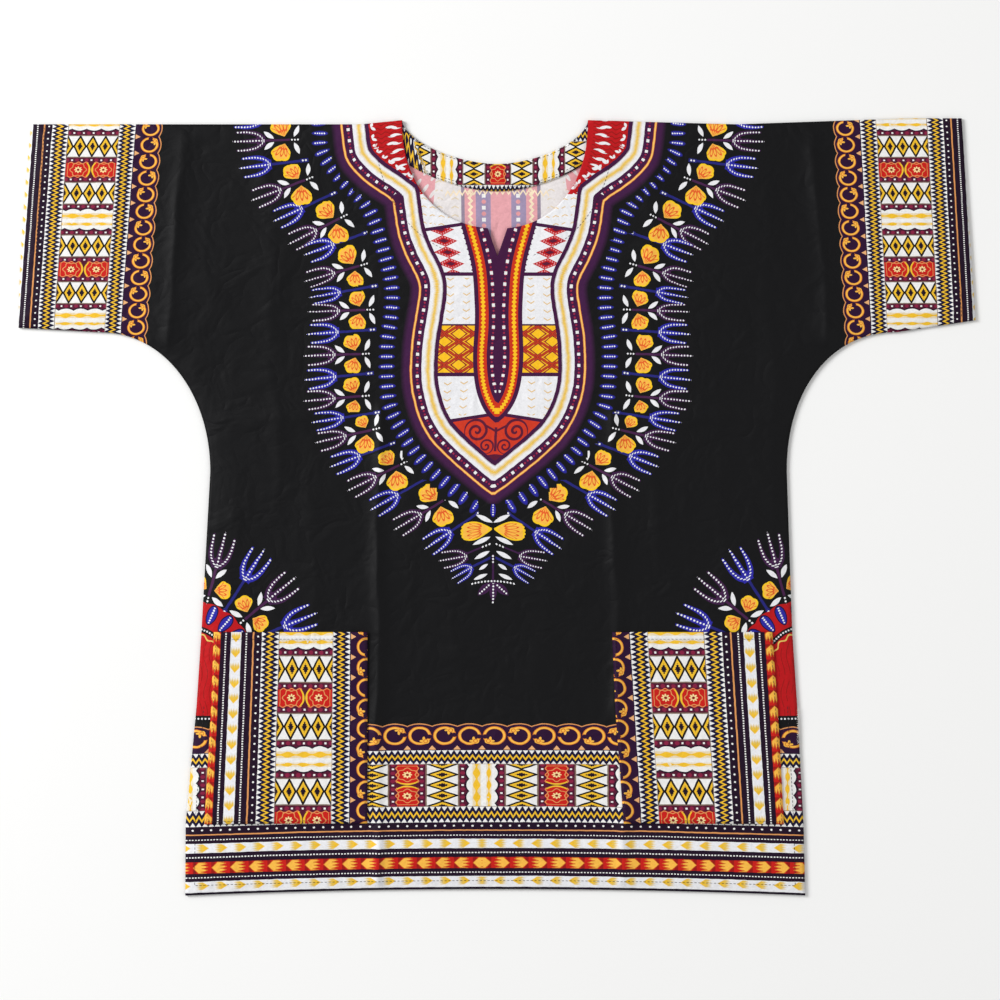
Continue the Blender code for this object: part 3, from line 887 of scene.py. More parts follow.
yokeDesign = """
p = abs(u)
paint(yokeShade, (d+11)/5)
paint(rust, line(d, 1.35))
paint(peachLine, line(d, 0.85))
paint(plumBand, more(d, 1.5))
spot = every(l, 11.3)
paint(plumMark, more(d, 1.5)*less(d, 10.4)*dot(every(l, 3.767), d-6.1, 1.05)*more(abs(spot), 2))
paint(white, less(hi(abs(spot), abs(d-6.1)), 1.5))
paint(plumBand, within(d, 1.5, 10.5)*less(gap, 4))
paint(leafWhite, more(d, 10.5))
brush = abs(d-17-(grain-0.5)*2.4)
speck = 0.8+0.2*sin(l*4.3+sin(d*5))
paint(ochre, (1.35-brush*0.36)*speck*within(d, 12, 22))
paint(yellow, (0.75-brush*0.34)*speck*within(d, 12, 22))
paint(paleGrey, within(d, 10.5, 23)*line(d-22.6, 0.35))
paint(plumBand, more(d, 23)*less(d, 26.9))
inner = more(d, 26.9)
paint(petalRed, inner*more(y, 285))
nr = power(power(p/94, 2.2)+power(hi(387.3-y, 0)/108.5, 2.2), 0.4545)
nd = (nr-1)*98
na = angle(387.3-y, p)*104
lobeRed = inner*more(y, 285)
alter = more(every(na, 15.6), 0)
paint(deepRed, lobeRed*less(abs(every(na, 3.9)+0.9*sin(nd*0.7)), 0.4)*more(nd, 1))
paint(leafWhite, lobeRed*less(leaf(nd-3.2-alter*4.4, every(na, 7.8)+nd*0.05, 12.6, 1.75), 0))
bud = every(l, 11.4)
paint(leafWhite, lobeRed*less(leaf((d-28.8)*0.8+bud*0.6, bud*0.8-(d-28.8)*0.6, 5.8, 1.5), 0))
paint(leafWhite, lobeRed*less(leaf((d-28.8)*0.5-bud*0.866, 0-bud*0.5-(d-28.8)*0.866, 4.8, 1.4), 0))
paint(leafWhite, inner*less(y, 313))
edgeY = 290.3-0.151*p
tick = abs(every(p-3, 9))
tickY = every(y-309-0.1*p, 8)
paint(sand, inner*less(y, 313)*line(tickY+0.45*tick-1, 0.5)*less(tick, 3)*more(grain, 0.4))
paint(plumBand, inner*less(y, edgeY))
rhombY = y-266.4
rhombP = p-54.5-0.3*rhombY
paint(leafWhite, inner*within(y, 235, edgeY-3.4))
rh = abs(rhombP)/13.8+abs(every(rhombY, 11.4))/5.9
block = inner*within(y, 235, edgeY-3.4)
paint(petalRed, block*less(rh, 0.98))
paint(rosePale, block*line(rh-0.72, 0.1)*more(sin(rhombP*2.5), -0.1))
paint(scroll, block*less(rh, 0.36))
paint(plumBand, inner*less(y, 235))
paint(leafWhite, inner*within(y, 183.3, 231.4))
paint(leafWhite, inner*within(y, 88.5+0.155*(44.1-p)*1.0, 131))
tickP = every(p-48.4+(y-207)*0.02, 16.3)
tickY = every(y-223.2+0.06*p, 8.05)
quiet = inner*less(y, 231)*(within(y, 184.5, 229.5)+within(y, 92, 129.5))
paint(sand, quiet*line(tickY-0.62*abs(tickP)+1.2, 0.62)*less(abs(tickP), 3.7)*within(p, 27, 60))
net = inner*within(y, 134.7, 181.7)
paint(brick, net)
firstP = abs(every(p-39.5, 29))
firstY = abs(every(y-173.6, 15.6))
otherP = 14.5-firstP
otherY = 7.8-firstY
first = size(firstP/6.9, firstY/5.2)+firstP*firstY*0.03
other = size(otherP/6.9, otherY/5.2)+otherP*otherY*0.03
lump = lo(first, other)
paint(scroll, net*less(lump, 1.17))
paint(spearYellow, net*less(lump, 1.0))
paint(spearYellow, net*line(lump-1.5, 0.13)*less(abs(firstP-7.2), 3.6))
paint(scroll, net*line(lump-1.72, 0.06))
spade = inner*less(y, 85.2+0.155*(44.1-p)*1.0)
paint(spadeRed, spade)
big = size(p-19.5, y-76.2)
bigTurn = angle(y-76.2, p-19.5)
paint(scroll, spade*less(big, 12.6)*line(every(big+bigTurn*1.03, 6.45), 1.35))
small = size(p-9.4, y-61.2)
smallTurn = angle(y-61.2, p-9.4)
paint(scroll, spade*less(small, 7.9)*line(every(small-smallTurn*0.76, 4.8), 1.0)*less(y, 70))
paint(scroll, spade*less(p, 1.3)*within(y, 56, 80))
paint(scroll, spade*line(y-76-0.55*p, 1.2)*less(p, 10))
paint(scroll, spade*less(p, (y-44.5)*0.95)*less(y, 53.2-0.12*p))
paint(plumBand, less(d, 26.9)*more(d, 23))
spear = more(e, 0)*more(d, 3)*less(y, 287)
teeth = less(0-e, 1.2-abs(every(el, 5.4))*1.1)*more(y, 235)*less(y, 280)
paint(plumBand, inner*hi(teeth, spear))
paint(spearRed, spear*within(e, 4.2, 13.7))
paint(spearYellow, spear*line(e-8.4, 1.7+0.75*sin(el*1.57)))
paint(plumMark, spear*dot(every(el, 3.45), e-18.7, 1.0)*more(p, 2.2))
paint(white, spear*less(hi(abs(every(el-2, 10.3)), abs(e-18.7)), 1.5)*more(p, 1.2))
"""


# The flower ring.
# h and q run across and along a purple stem, b and w a blue one. Each purple stem bears two
# flowers and four leaves, and three dotted prongs end every stem.
ringFrames = """
bloom = 1
sepal = 13
h = abs(hp)+40*more(abs(abs(hp)-hpOff), 0.5+2.5*less(hpOff, 6))
b = abs(hb)+40*more(abs(abs(hb)-hbOff), 0.5+2.5*less(hbOff, 6))
"""

ringDesign = """
room = lo(hi((between-10)/37, 0.55), 1.1)
paint(nightLow, less(h, 1.15)*within(q, -9, 18))
paint(blueLow, less(b, 1.2)*within(w, -14, 18))
paint(blueLow, less(b, 1.9)*within(w, -21.5, -13.5))
tight = lo(hi(room+0.06, 0.74), 1)
prongs(h/tight, q-17, night)
prongs(b/tight, w-17, blue)
paint(leafWhite, dot(h, every(q+11, 3), 0.9)*within(q, -18.6, -9.6))
paint(leafWhite, dot(b, every(w+16, 3), 0.95)*within(w, -20.5, -14.5))
grown = room*bloom
fu = ((h-3.6)*0.955+(q+3.5)*0.296)/grown
fv = ((q+3.5)*0.955-(h-3.6)*0.296)*0.84/grown
fr = size(fu, fv)
ft = angle(fv, fu)
scallop = fr-17.2*power(hi(cos(ft*1.86), 0), 0.3)-1.3*abs(sin(ft*5.6+0.5))
onFlower = more(fu, 0)*less(abs(ft), 0.95)
paint(petal, less(scallop, 0)*onFlower)
paint(gold, less(scallop, -1.5-3.2*ft*ft)*onFlower)
vein = size((fr-9.2)/4.8, every(ft, 0.32)*fr/1.35)
paint(ember, within(vein, 0.6, 1.0)*less(abs(ft), 0.62)*less(scallop, -1.2)*onFlower)
paint(ember, less(fr, 5.2)*less(abs(every(ft, 0.32)), 0.08)*less(abs(ft), 0.6)*more(fu, 1))
lu = (h-1.8)*0.6+(q-7)*0.8
lv = (q-7)*0.6-(h-1.8)*0.8
paint(leafWhite, less(leaf(lu, lv-0.35*sin(lu*0.26), 12.5, 2.1), 0))
lu = (h-3)*0.914-(q+sepal)*0.405
lv = (q+sepal)*0.914+(h-3)*0.405
paint(leafWhite, less(leaf(lu, lv+0.3*sin(lu*0.25), 12.6, 2.2), 0))
"""

dashDesign = f"""
fade = power(2.7183, 0-al/60)
wider = 1-0.34*fade
dash = every(al+20.4*fade, {yoke['dashSpacing']})/wider
stout = 1+0.55*fade
paint(blueLow, more(al, -5)*oval(dash, aq, 2.5*stout, 8.3*sqrt(stout)))
paint(blue, more(al, -5)*oval(dash, aq, 1.85*stout, 7.3*sqrt(stout)))
paint(leafWhite, more(al, -5)*dot(dash, every(aq, 2.35), 0.78)*less(abs(aq), 5.9))
"""


def prongsText(across, outward, ink):
    # three prongs from (0, 0): the outer two spread as 9.3*(1-exp(-q/5.5)), each a band
    # of ink that tapers outwards, with a row of white dots 3 apart
    low = ink + "Low"
    return f"""
pq = {outward}
spread = 9.3*(1-power(0.834, hi(pq, 0)))
steep = (9.3-spread)/5.5
lean = sqrt(1+steep*steep)
side = (abs({across})-spread)/lean
taper = 2.5*(1-pq*pq/1120)
paint({low}, less(abs({across}), spread+1.0)*within(pq, -1.5, 9-abs({across})*0.6))
paint({ink}, less(lo(abs(side), abs({across})), taper)*within(pq, -1.5, 31-0.35*abs({across})))
paint(leafWhite, dot(every(pq+0.45*spread, 3), side, 0.85)*within(pq, -0.5, 27.6))
paint(leafWhite, dot(every(pq-2, 3), {across}, 0.85)*within(pq, 1.5, 31.4))
"""


def withProngs(text):
    # writes out each line "prongs(across, outward, ink)" of a design
    lines = []
    for line in text.splitlines():
        if line.startswith("prongs("):
            lines.append(prongsText(*[part.strip() for part in line[7:-1].split(",")]))
        else:
            lines.append(line)
    return "\n".join(lines)


# The foot of the ring, on the middle line: leaves, two large flowers, small prongs.
finaleLeafColumns = ("u0", "y0", "u1", "y1", "width")
finaleLeaves = (
    (0.4, -15.2, 17.2, -7.4, 2.3),
    (2.3, -29.4, 20.4, -37.6, 2.2),
    (3.2, -43.7, 18.6, -51.8, 2.2),
    (5, -56.6, 14, -62.5, 1.7),
    (5.5, -66.5, 19.4, -72.4, 1.9),
)


def finaleText():
    text = """
p = abs(u)
paint(ground, less(p, 14.5)*within(y, -12, 3.5))
paint(blue, less((p/2.6)*(p/2.6)+((y+2.6)/7.2)*((y+2.6)/7.2), 1))
paint(leafWhite, dot(p, every(y+2.6, 2.4), 0.75)*within(y, -8, 3))
"""
    for row in finaleLeaves:
        leaf = dict(zip(finaleLeafColumns, row))
        dx, dy = leaf["u1"] - leaf["u0"], leaf["y1"] - leaf["y0"]
        length = math.hypot(dx, dy)
        cos, sin = dx / length, dy / length
        text += f"""
lu = (p-{leaf['u0']})*{cos:.4f}+(y+{-leaf['y0']})*{sin:.4f}
lv = (y+{-leaf['y0']})*{cos:.4f}-(p-{leaf['u0']})*{sin:.4f}
paint(leafWhite, less(leaf(lu, lv, {length:.2f}, {leaf['width']}), 0))
"""
    return text + """
fu = p-1.2
fv = y+21.6+fu*0.11
fr = size(fu, fv*1.12)
ft = angle(fv*1.12, fu)
half = 0.9+8.6*power(hi(sin(fu*0.078), 0), 1.1)
fan = less(abs(fv), half)*less(fu, 30.3-0.045*fv*fv+1.2*abs(sin(fv*0.9)))
paint(petal, fan*within(fu, 0, 32))
paint(gold, fan*within(fu, 4, 28.6)*less(abs(fv), half-1.6))
vein = size((fr-18)/7.5, every(ft, 0.19)*fr/1.5)
paint(ember, fan*within(vein, 0.68, 1.0)*less(abs(fv), half-1.5))
paint(leafWhite, dot(every(p-0.2, 3.3), y+35.4+0.41*p, 0.95)*within(p, 2, 11.6))
paint(night, less(abs(y+39.5+0.41*(p-10)), 0.9)*within(p, 11.6, 27))
paint(night, less(p, 1.0)*within(y, -74, -47))
paint(leafWhite, dot(p, every(y+51.7, 3), 0.95)*within(y, -56.3, -47.2))
gu = ((p-26.5)*0.985-(y+48.8)*0.174)/0.9
gv = ((y+48.8)*0.985+(p-26.5)*0.174)/0.85
prongs(gv, gu, night)
paint(blueLow, less(abs(y+50.6+0.5*(p-3)), 1.3)*within(p, 2.5, 22))
gu = ((p-21.5)*0.866-(y+60)*0.5)/0.74
gv = ((y+60)*0.866+(p-21.5)*0.5)/0.74
prongs(gv, gu, blue)
footU = abs(p)
paint(night, less(leaf((y+73)*-1, footU, 22, 3.6), 0))
lu = (p-1)*0.74-(y+75)*0.672
lv = (y+75)*0.74+(p-1)*0.672
paint(night, less(leaf(lu, lv, 19.5, 4.2), 0))
paint(leafWhite, dot(every(lu-1.5, 3), lv, 0.9)*within(lu, 3, 18))
paint(leafWhite, dot(every(p-1.6, 3.2), y+73.8+0.0062*p*p, 0.95)*less(p, 22))
paint(leafWhite, dot(footU, every(y+79, 3.2), 0.95)*within(y, -96, -76))
"""


# The side corners.
# The same ring round a point on each side seam, over a red band with blue ovals.
corner = {
    "centre": ((-307, -157.7), (306, -157.7)),
    "flowerRadius": 82,
    "purpleAngles": (74.9, 39.7, 4.5),
    "blueAngles": (92, 57.3, 22.3),
    "ovalAngle": 49.3,
    "ovalReach": 54,  # distances round the corner are told at the ovals' middle
    "bloom": 0.8,
    "sepal": 9.5,
    "scale": 1.15,  # its motifs are this much larger than the ring's
    "reach": 136,
    "stemEnds": (-24, 60),
}


def cornerStems(angles, across, up):
    # the same distances as for the ring's stems, in the ring's size
    turn = np.radians(np.array(angles))[None, :]
    along = across[:, None] * np.cos(turn) + up[:, None] * np.sin(turn) - corner["flowerRadius"]
    aside = across[:, None] * np.sin(turn) - up[:, None] * np.cos(turn)
    beyond = along - np.clip(along, *corner["stemEnds"])
    nearest = np.argmin(np.hypot(aside, beyond), axis=1)[:, None]
    aside = np.take_along_axis(aside, nearest, axis=1)[:, 0] / corner["scale"]
    along = np.take_along_axis(along, nearest, axis=1)[:, 0] / corner["scale"]
    return aside, along, np.abs(aside)


def cornerFields(x, y):
    # distances round the corner's centre, out from its flowers, and the level
    side = np.where(x < 0, 0, 1)
    centre = np.array(corner["centre"])[side]
    across = (x - centre[:, 0]) * (1 - 2 * side)
    up = y - centre[:, 1]
    distance = np.hypot(across, up)
    turned = np.degrees(np.arctan2(up, across)) - corner["ovalAngle"]
    return {
        "corner": (np.radians(turned) * corner["ovalReach"], distance - corner["flowerRadius"], y),
        "purpleStem": cornerStems(corner["purpleAngles"], across, up),
        "blueStem": cornerStems(corner["blueAngles"], across, up),
    }


cornerDesign = """
step = every(about, 16.1)/16.1
paint(petalRed, less(out, -17-7*step*step))
paint(navy, oval(step, out+28, 0.345, 10.6))
paint(blue, oval(step, out+28, 0.275, 9.2))
paint(leafWhite, dot(step*16.3, every(out+28, 2.7), 1.0)*within(out, -36.5, -19.6))
paint(ground, less(out, -42))
paint(leafWhite, dot(every(about, 4.3)*0.7, out+44.6, 0.95))
paint(petalRed, less(out, -47.4))
paint(petalRed, less(level, -137))
brushed = less(level, -133)*less(out, -20)*more(grain, 0.42)
paint(deepRed, brushed*line(every(px+2*sin(level*0.16), 5.5), 0.32))
paint(ochre, line(out+50.5+1.4*sin(about*0.3), 0.8)*more(level, -160))
paint(ground, less(level, -208.6))
paint(leafWhite, dot(every(px, 3.6), level+211.6, 0.95))
"""

wrongSideDesign = """
c = abs(x-4+0.012*(y-300))
paint(paleRose, less(c, 39.8))
paint(greyPurple, within(c, 36.4, 39.8))
paint(pink, less(c, 36.4))
paint(paleCream, line(c-30.6+0.9*fold(y, 3.1)-1.4, 1.5)*within(c, 25, 36.4))
paint(lilac, within(c, 10.3, 25.2))
paint(white, less(hi(abs(c-17.2), abs(every(y, 12))), 1.9))
paint(rosePale, dot(c-17.2, every(y-6, 12), 2.2))
paint(pink, less(c, 10.3))
tick = abs(every(x-6, 16))
ticks = more(c, 41)*less(c, 67)*less(tick, 3.6)*more(grain, 0.42)
paint(sandPale, ticks*line(every(y-3, 8.5)+0.5*tick-1, 0.7))
farSide = more(c, 68-(y-300)*0.1)
paint(pink, farSide)
fx = every(c*0.8+y*0.6, 9)
fy = every(y*0.8-c*0.6, 15)
paint(paleWhite, farSide*oval(fx, fy, 1.7, 5.4))
paint(paleCream, line(y-315.8-1.6*fold(x, 2.9)+2+0.0009*x*x, 1.3)*less(abs(x), 52))
"""


# Back and front: how many cells lie between one named column or row and the next.
back = {
    "sleeveCells": 5,
    "edgeCells": 3,
    "sideCells": 5,
    "creaseCells": 2,
    "chestCells": 5,
    "sleeveRowCells": 6,
    "bodyRowCells": 5,
}
front = {
    "sleeveCells": 8,
    "edgeCells": 5,
    "sideCells": 8,
    "creaseCells": 5,
    "chestCells": 6,
    "sleeveRowCells": 9,
    "bodyRowCells": 10,
}


def makeShirtPanel(name, cells, isFront):
    # the whole panel as one grid; cells beside the body, below the underarm, have no cloth
    sleeve, edge = [cells["sleeveCells"]] * 5, [cells["edgeCells"]]
    side, chest = [cells["sideCells"]] * 5, [cells["chestCells"]] * 12
    half = sleeve + edge + side
    columns = gridStops(0, half + [cells["creaseCells"]] + chest + half[::-1])
    rows = gridStops(0, [cells["sleeveRowCells"]] * 8 + [cells["bodyRowCells"]] * 14)
    x, y = planOf(columns, rows, isFront)
    z = clothHeight(x, y) if isFront else np.zeros_like(x)
    midColumns = (columns[:-1] + columns[1:]) / 2
    midRows = (rows[:-1] + rows[1:]) / 2
    inBody = (midColumns > knots["leftFold"]) & (midColumns < knots["rightFold"])
    keep = inBody[None, :] | (midRows < knots["underarmRow"])[:, None]
    return shellFrom(name, x, y, z, cut["cloth"], keep)


def makeBack():
    # only the upper face, inside the shirt, shows the wrong side of the print
    piece, points = makeShirtPanel("backPanel", back, False)
    mesh = piece.data
    wrongSide = {"place": "x y"}
    mesh.materials.append(
        printedCotton("waxPrintedCottonWrongSide", wrongSideDesign, wrongSide, "paleWhite")
    )
    mesh.materials.append(printedCotton("waxPrintedBlackCotton", "", {}))
    level = points[:, 2][faceCorners(piece)].min(axis=1)
    mesh.polygons.foreach_set("material_index", np.where(level > 0, 0, 1).astype(np.int32))
    return piece


# Where the border lies on the sleeves: level and slant of its chest edge.
sleeveBorder = {
    "from": (200, 120),
    "inner": (-339, 340),
    "innerS": 2,
    "slant": (0.0735, 0.055),
    "levelY": 340.3,
    "stretch": 1.03,
    "whiteY": 287.8,
}

# The border above the hem, at the middle of the shirt: y and its own distance s.
hemBorderTable = np.array((
    (-215.7, 0),
    (-219.7, 4),
    (-237.7, 22),
    (-256.7, 45),
    (-298.7, 97),
    (-314.7, 114),
    (-323.7, 123),
    (-331.2, 134),
    (-340.7, 144),
    (-349.5, 154),
    (-361.1, 164),
    (-368.6, 174),
    (-377.7, 184),
    (-384, 192),
))


def stripField(x, y):
    # s, v and far of the border at each point of the front: sleeves above, hem below
    s = np.full_like(x, -50.0)
    fromX, fromY = sleeveBorder["from"]
    for side in (0, 1):
        sign = 2 * side - 1
        level = x - sign * sleeveBorder["slant"][side] * (sleeveBorder["levelY"] - y)
        across = (level - sleeveBorder["inner"][side]) * sign * sleeveBorder["stretch"]
        s = np.where((x * sign > fromX) & (y > fromY), sleeveBorder["innerS"] + across, s)
    sleeveV = (sleeveBorder["whiteY"] - y) * border["repeat"] / border["sleeveRepeat"]
    below = y < 0
    low = np.clip(y / sectionTable[-1, 1], 0.0, 1.0)
    straightY = y + cut["hemDip"] * (x / cut["hemHalf"]) ** 2 * low
    hemS = np.interp(-straightY, -hemBorderTable[:, 0], hemBorderTable[:, 1])
    hemS = hemS + np.minimum(hemBorderTable[0, 0] - straightY, 0.0)
    hemV = (x - border["hemWhiteX"]) * border["repeat"] / border["hemRepeat"]
    v = np.where(below, hemV, sleeveV)
    far = np.where(below, hemV, sleeveV + border["away"])
    return np.where(below, hemS, s), v, far


# Which print each face of the front takes, told by how near it lies to the motifs.
prints = {
    "black": 0,
    "border": 1,
    "yoke": 2,
    "ring": 3,
    "dashes": 4,
    "foot": 5,
    "corner": 6,
    "stemReach": (24, 56),  # across and along
    "ringEnds": (275, -60),  # furthest out and lowest
    "dashReach": 9,
    "footReach": (90, 6, -104),  # half width, top and foot
    "yokeReach": -11.5,
    "cornerFrom": 160,
    "cornerSpacing": 47,  # its stems stand further apart
}


def makeFront():
    piece, points = makeShirtPanel("frontPanel", front, True)
    x, y = points[:, 0], points[:, 1]
    fields = yokeFields(x, y)
    sides = cornerFields(x, y)
    byCorner = (y < -2) & (np.abs(x) > 150)
    for name in ("purpleStem", "blueStem"):
        pairs = zip(fields[name], sides[name])
        fields[name] = tuple(np.where(byCorner, low, high) for high, low in pairs)
    spacing = prints["cornerSpacing"]
    fields["spacing"] = tuple(np.where(byCorner, spacing, part) for part in fields["spacing"])
    fields["corner"] = sides["corner"]
    fields["strip"] = stripField(x, y)
    for name, values in fields.items():
        addField(piece, name, values)

    stems = {"purpleStem": "hp q hpOff", "blueStem": "hb w hbOff", "spacing": "between"}
    chest = {"yoke": "d l e", "spear": "u el y", "notch": "gap"}
    dashes = {"dash": "al aq"}
    foot = {**stems, **dashes, "spear": "u el y"}
    sideCorner = {**stems, "corner": "about out level", "place": "px"}
    ring = ringFrames + withProngs(ringDesign)
    smallRing = ringFrames + f"bloom = {corner['bloom']}\nsepal = {corner['sepal']}"
    smallRing += withProngs(ringDesign)
    mesh = piece.data
    mesh.materials.append(bpy.data.materials["waxPrintedBlackCotton"])
    for name, design, fieldNames in (
        ("waxPrintedBorder", borderDesign, {"strip": "s v turnPoint"}),
        ("waxPrintedYoke", yokeDesign, chest),
        ("waxPrintedRing", ring, stems),
        ("waxPrintedDashes", dashDesign, dashes),
        ("waxPrintedRingFoot", ring + dashDesign + withProngs(finaleText()), foot),
        ("waxPrintedCorner", smallRing + cornerDesign, sideCorner),
    ):
        mesh.materials.append(printedCotton(name, design, fieldNames))

    corners = faceCorners(piece)
    s = fields["strip"][0][corners].max(axis=1)
    d = fields["yoke"][0][corners].max(axis=1)
    dash = np.abs(fields["dash"][1])[corners].min(axis=1)
    alongDash = np.abs(fields["dash"][0])[corners].mean(axis=1)
    dashReach = prints["dashReach"] + 1.7 * np.exp(-alongDash / 60.0)
    toStem = np.minimum(fields["purpleStem"][2], fields["blueStem"][2])[corners].min(axis=1)
    alongStem = np.abs(fields["purpleStem"][1][corners].mean(axis=1))
    u = np.abs(fields["spear"][0])[corners].mean(axis=1)
    out = fields["corner"][1][corners].min(axis=1) + corner["flowerRadius"]
    x, y = x[corners].mean(axis=1), y[corners].mean(axis=1)
    across, along = prints["stemReach"]
    furthest, lowest = prints["ringEnds"]
    half, top, bottom = prints["footReach"]
    inRing = (toStem < across) & (alongStem < along) & (u < furthest) & (y > lowest)
    byCorner = (y < -4) & (out < corner["reach"]) & (np.abs(x) > prints["cornerFrom"])
    slots = np.where(inRing, prints["ring"], prints["black"])
    for here, name in (
        ((dash < dashReach) & (y > 2), "dashes"),
        ((y < top) & (u < half) & (y > bottom), "foot"),
        ((d > prints["yokeReach"]) & (y > -4), "yoke"),
        ((u < 5) & (y < 4), "foot"),
        (byCorner, "corner"),
        (s > -2, "border"),
    ):
        slots = np.where(here, prints[name], slots)
    mesh.polygons.foreach_set("material_index", slots.astype(np.int32))
    return piece


# Pockets.
pocket = {
    "cells": 9,
    "rowCells": 11,
    "whiteY": -251.7,
    "levels": (124.7, 315.7),  # the border's edges on each pocket, at these levels down
    "inner": ((-129.5, -129.5), (114.5, 126.5)),
    "outer": ((-283, -292.5), (275, 287)),
    "innerS": 11.5,
    "widthS": 149.5,
    "gape": 1,  # the mouth stands a little off the shirt
}


def pocketLift(rows):
    # how far a pocket stands above the front's underside: most at its open mouth
    down = np.clip((rows - knots["pocketTopRow"]) / 5.0, 0.0, 1.0)[:, None]
    return cut["cloth"] * 1.05 + cut["seamGap"] + pocket["gape"] * (1 - down) ** 6


def makePocket(name, first, last, side):
    # a patch of the cut's own grid, laid on the front; the border runs down it
    top, foot = knots["pocketTopRow"], knots["pocketFootRow"]
    columns = gridStops(first, [pocket["cells"]] * (last - first))
    rows = gridStops(top, [pocket["rowCells"]] * (foot - top))
    x, y = planOf(columns, rows, True)
    piece, points = shellFrom(name, x, y, clothHeight(x, y) + pocketLift(rows), cut["cloth"])
    x, y = points[:, 0], points[:, 1]
    inner = np.interp(-y, pocket["levels"], pocket["inner"][side])
    outer = np.interp(-y, pocket["levels"], pocket["outer"][side])
    s = pocket["innerS"] + (x - inner) / (outer - inner) * pocket["widthS"]
    v = (pocket["whiteY"] - y) * border["repeat"] / border["pocketRepeat"]
    addField(piece, "strip", (s, v, border["away"] - v))
    piece.data.materials.append(bpy.data.materials["waxPrintedBorder"])
    return piece


# Back neck facing.
facing = {
    "cells": 8,
    "around": 120,
    "footY": 322.8,  # where the panel of the border ends on it
    "footS": 97,
    "stretch": 1.2,
    "redX": 0.8,
    "columnX": -73,  # the border turns up beside this line at the left shoulder
    "columnY": 341,
    "columnSlant": 0.43,
    "columnS": 45,
}


def facingPlan(around, outset):
    # plan position at an angle round the back neck and a distance out from its edge
    toLeft, toRight = cut["centreX"] - cut["leftNeckX"], cut["rightNeckX"] - cut["centreX"]
    reach = np.where(around < math.pi / 2, toLeft, toRight)
    power = 2 / cut["backNeckPower"]
    across = np.abs(np.cos(around)) ** power
    x = cut["centreX"] - np.sign(np.cos(around)) * across * (reach + outset)
    y = cut["neckPointY"] - np.sin(around) ** power * (cut["backNeckDrop"] + outset)
    return x, y - cut["facingSlope"] * outset / cut["facingWidth"] * across


def makeFacing():
    # a band of even width round the back neck; its print is the border's, set level
    around = np.linspace(0.0, math.pi, facing["around"] + 1)[None, :]
    outset = cut["facingWidth"] * np.linspace(0.0, 1.0, facing["cells"] + 1)[:, None]
    x, y = facingPlan(around, outset)
    z = np.full_like(x, cut["cloth"] + cut["seamGap"])
    piece, points = shellFrom("backNeckFacing", x, y, z, cut["facingCloth"])
    x, y = points[:, 0], points[:, 1]
    s = facing["footS"] + (facing["footY"] - y) * facing["stretch"]
    past = x - facing["columnX"] + facing["columnSlant"] * (y - facing["columnY"])
    s = np.where(past < 0, np.minimum(s, facing["columnS"] + past), s)
    v = border["repeat"] / 2 + (x - facing["redX"]) * facing["stretch"]
    addField(piece, "strip", (s, v, v + border["away"]))
    piece.data.materials.append(bpy.data.materials["waxPrintedBorder"])
    return piece


# Machine stitches: hems, vents, pockets and neck, each line so far inside its edge.
thread = {
    "length": 2.9,  # real ones are about 2.5 and finer, drawn a little coarser to show
    "gap": 1,
    "radius": 0.26,
    "ink": "#221A24",
    "overlockInk": "#ECEAE4",
    "hemRow": 21.74,
    "cuffColumns": (0.4, 34.6),
    "cuffRows": (0.1, 7.8),
    "ventColumns": (5.5, 29.5),
    "ventRow": 17,
    "pocketInset": 0.075,
    "pocketTop": 0.02,
    "pocketHem": 0.19,
    "neckFacing": 1.29,  # the front facing's edge, as a multiple of the neck opening
    "neckTurns": (0.25, 1.3),
    "facingRows": (1.6, 23.4, 26),  # distances out from the back neck edge
    "facingEnd": 0.2,
    "overlock": (301.6, -201, -237),
    "overlockStep": 1.1,
    "overlockHalf": 1.5,
    "overlockLength": 2.6,
    "overlockGap": 0.2,
}


def sewingThread(name, ink):
    # spun thread: smoother than the cloth, with a soft shine
    colour = {"Base Color": linear(ink)}
    return newMaterial(name, {**colour, "Roughness": 0.5, "Specular IOR Level": 0.3})[0]


def makeStitches(name, paths, material, length=thread["length"], gap=thread["gap"]):
    # a row of stitches along each path of points, joined in one mesh; each is a rod of
    # five rings of six points that thins and sinks into the cloth at both ends
    thin = np.array((0.3, 0.85, 1.0, 0.85, 0.3))
    turn = np.arange(6) * math.pi / 3
    strands = []
    for path in paths:
        steps = np.linalg.norm(np.diff(path, axis=0), axis=1)
        reach = np.concatenate(([0.0], np.cumsum(steps)))
        count = max(1, int(reach[-1] // (length + gap)))
        middle = (np.arange(count) + 0.5) * reach[-1] / count
        at = middle[:, None] + np.linspace(-0.5, 0.5, 5) * length
        strands.append(np.stack([np.interp(at, reach, part) for part in path.T], axis=-1))
    centre = np.concatenate(strands)
    centre[:, :, 2] += thread["radius"] * (thin - 0.6)
    ahead = centre[:, -1] - centre[:, 0]
    ahead /= np.linalg.norm(ahead, axis=1)[:, None]
    aside = np.stack((-ahead[:, 1], ahead[:, 0], np.zeros(len(ahead))), axis=-1)
    upward = np.array((0.0, 0.0, 1.0))
    ring = np.cos(turn)[:, None] * aside[:, None, None, :] + np.sin(turn)[:, None] * upward
    points = centre[:, :, None, :] + thread["radius"] * thin[:, None, None] * ring
    index = np.arange(points.size // 3).reshape(-1, 5, 6)
    following = np.roll(index, -1, axis=2)
    quads = (index[:, :-1], following[:, :-1], following[:, 1:], index[:, 1:])
    caps = np.concatenate((index[:, 0, ::-1], index[:, -1]))
    faces = np.stack(quads, axis=-1).reshape(-1, 4).tolist() + caps.tolist()
    piece = newPiece(name, points.reshape(-1, 3), faces)
    piece.data.materials.append(material)
    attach(piece, "root")


def onFront(x, y):
    # points on the front's upper face
    return np.stack((x, y, clothHeight(x, y) + cut["cloth"]), axis=-1)


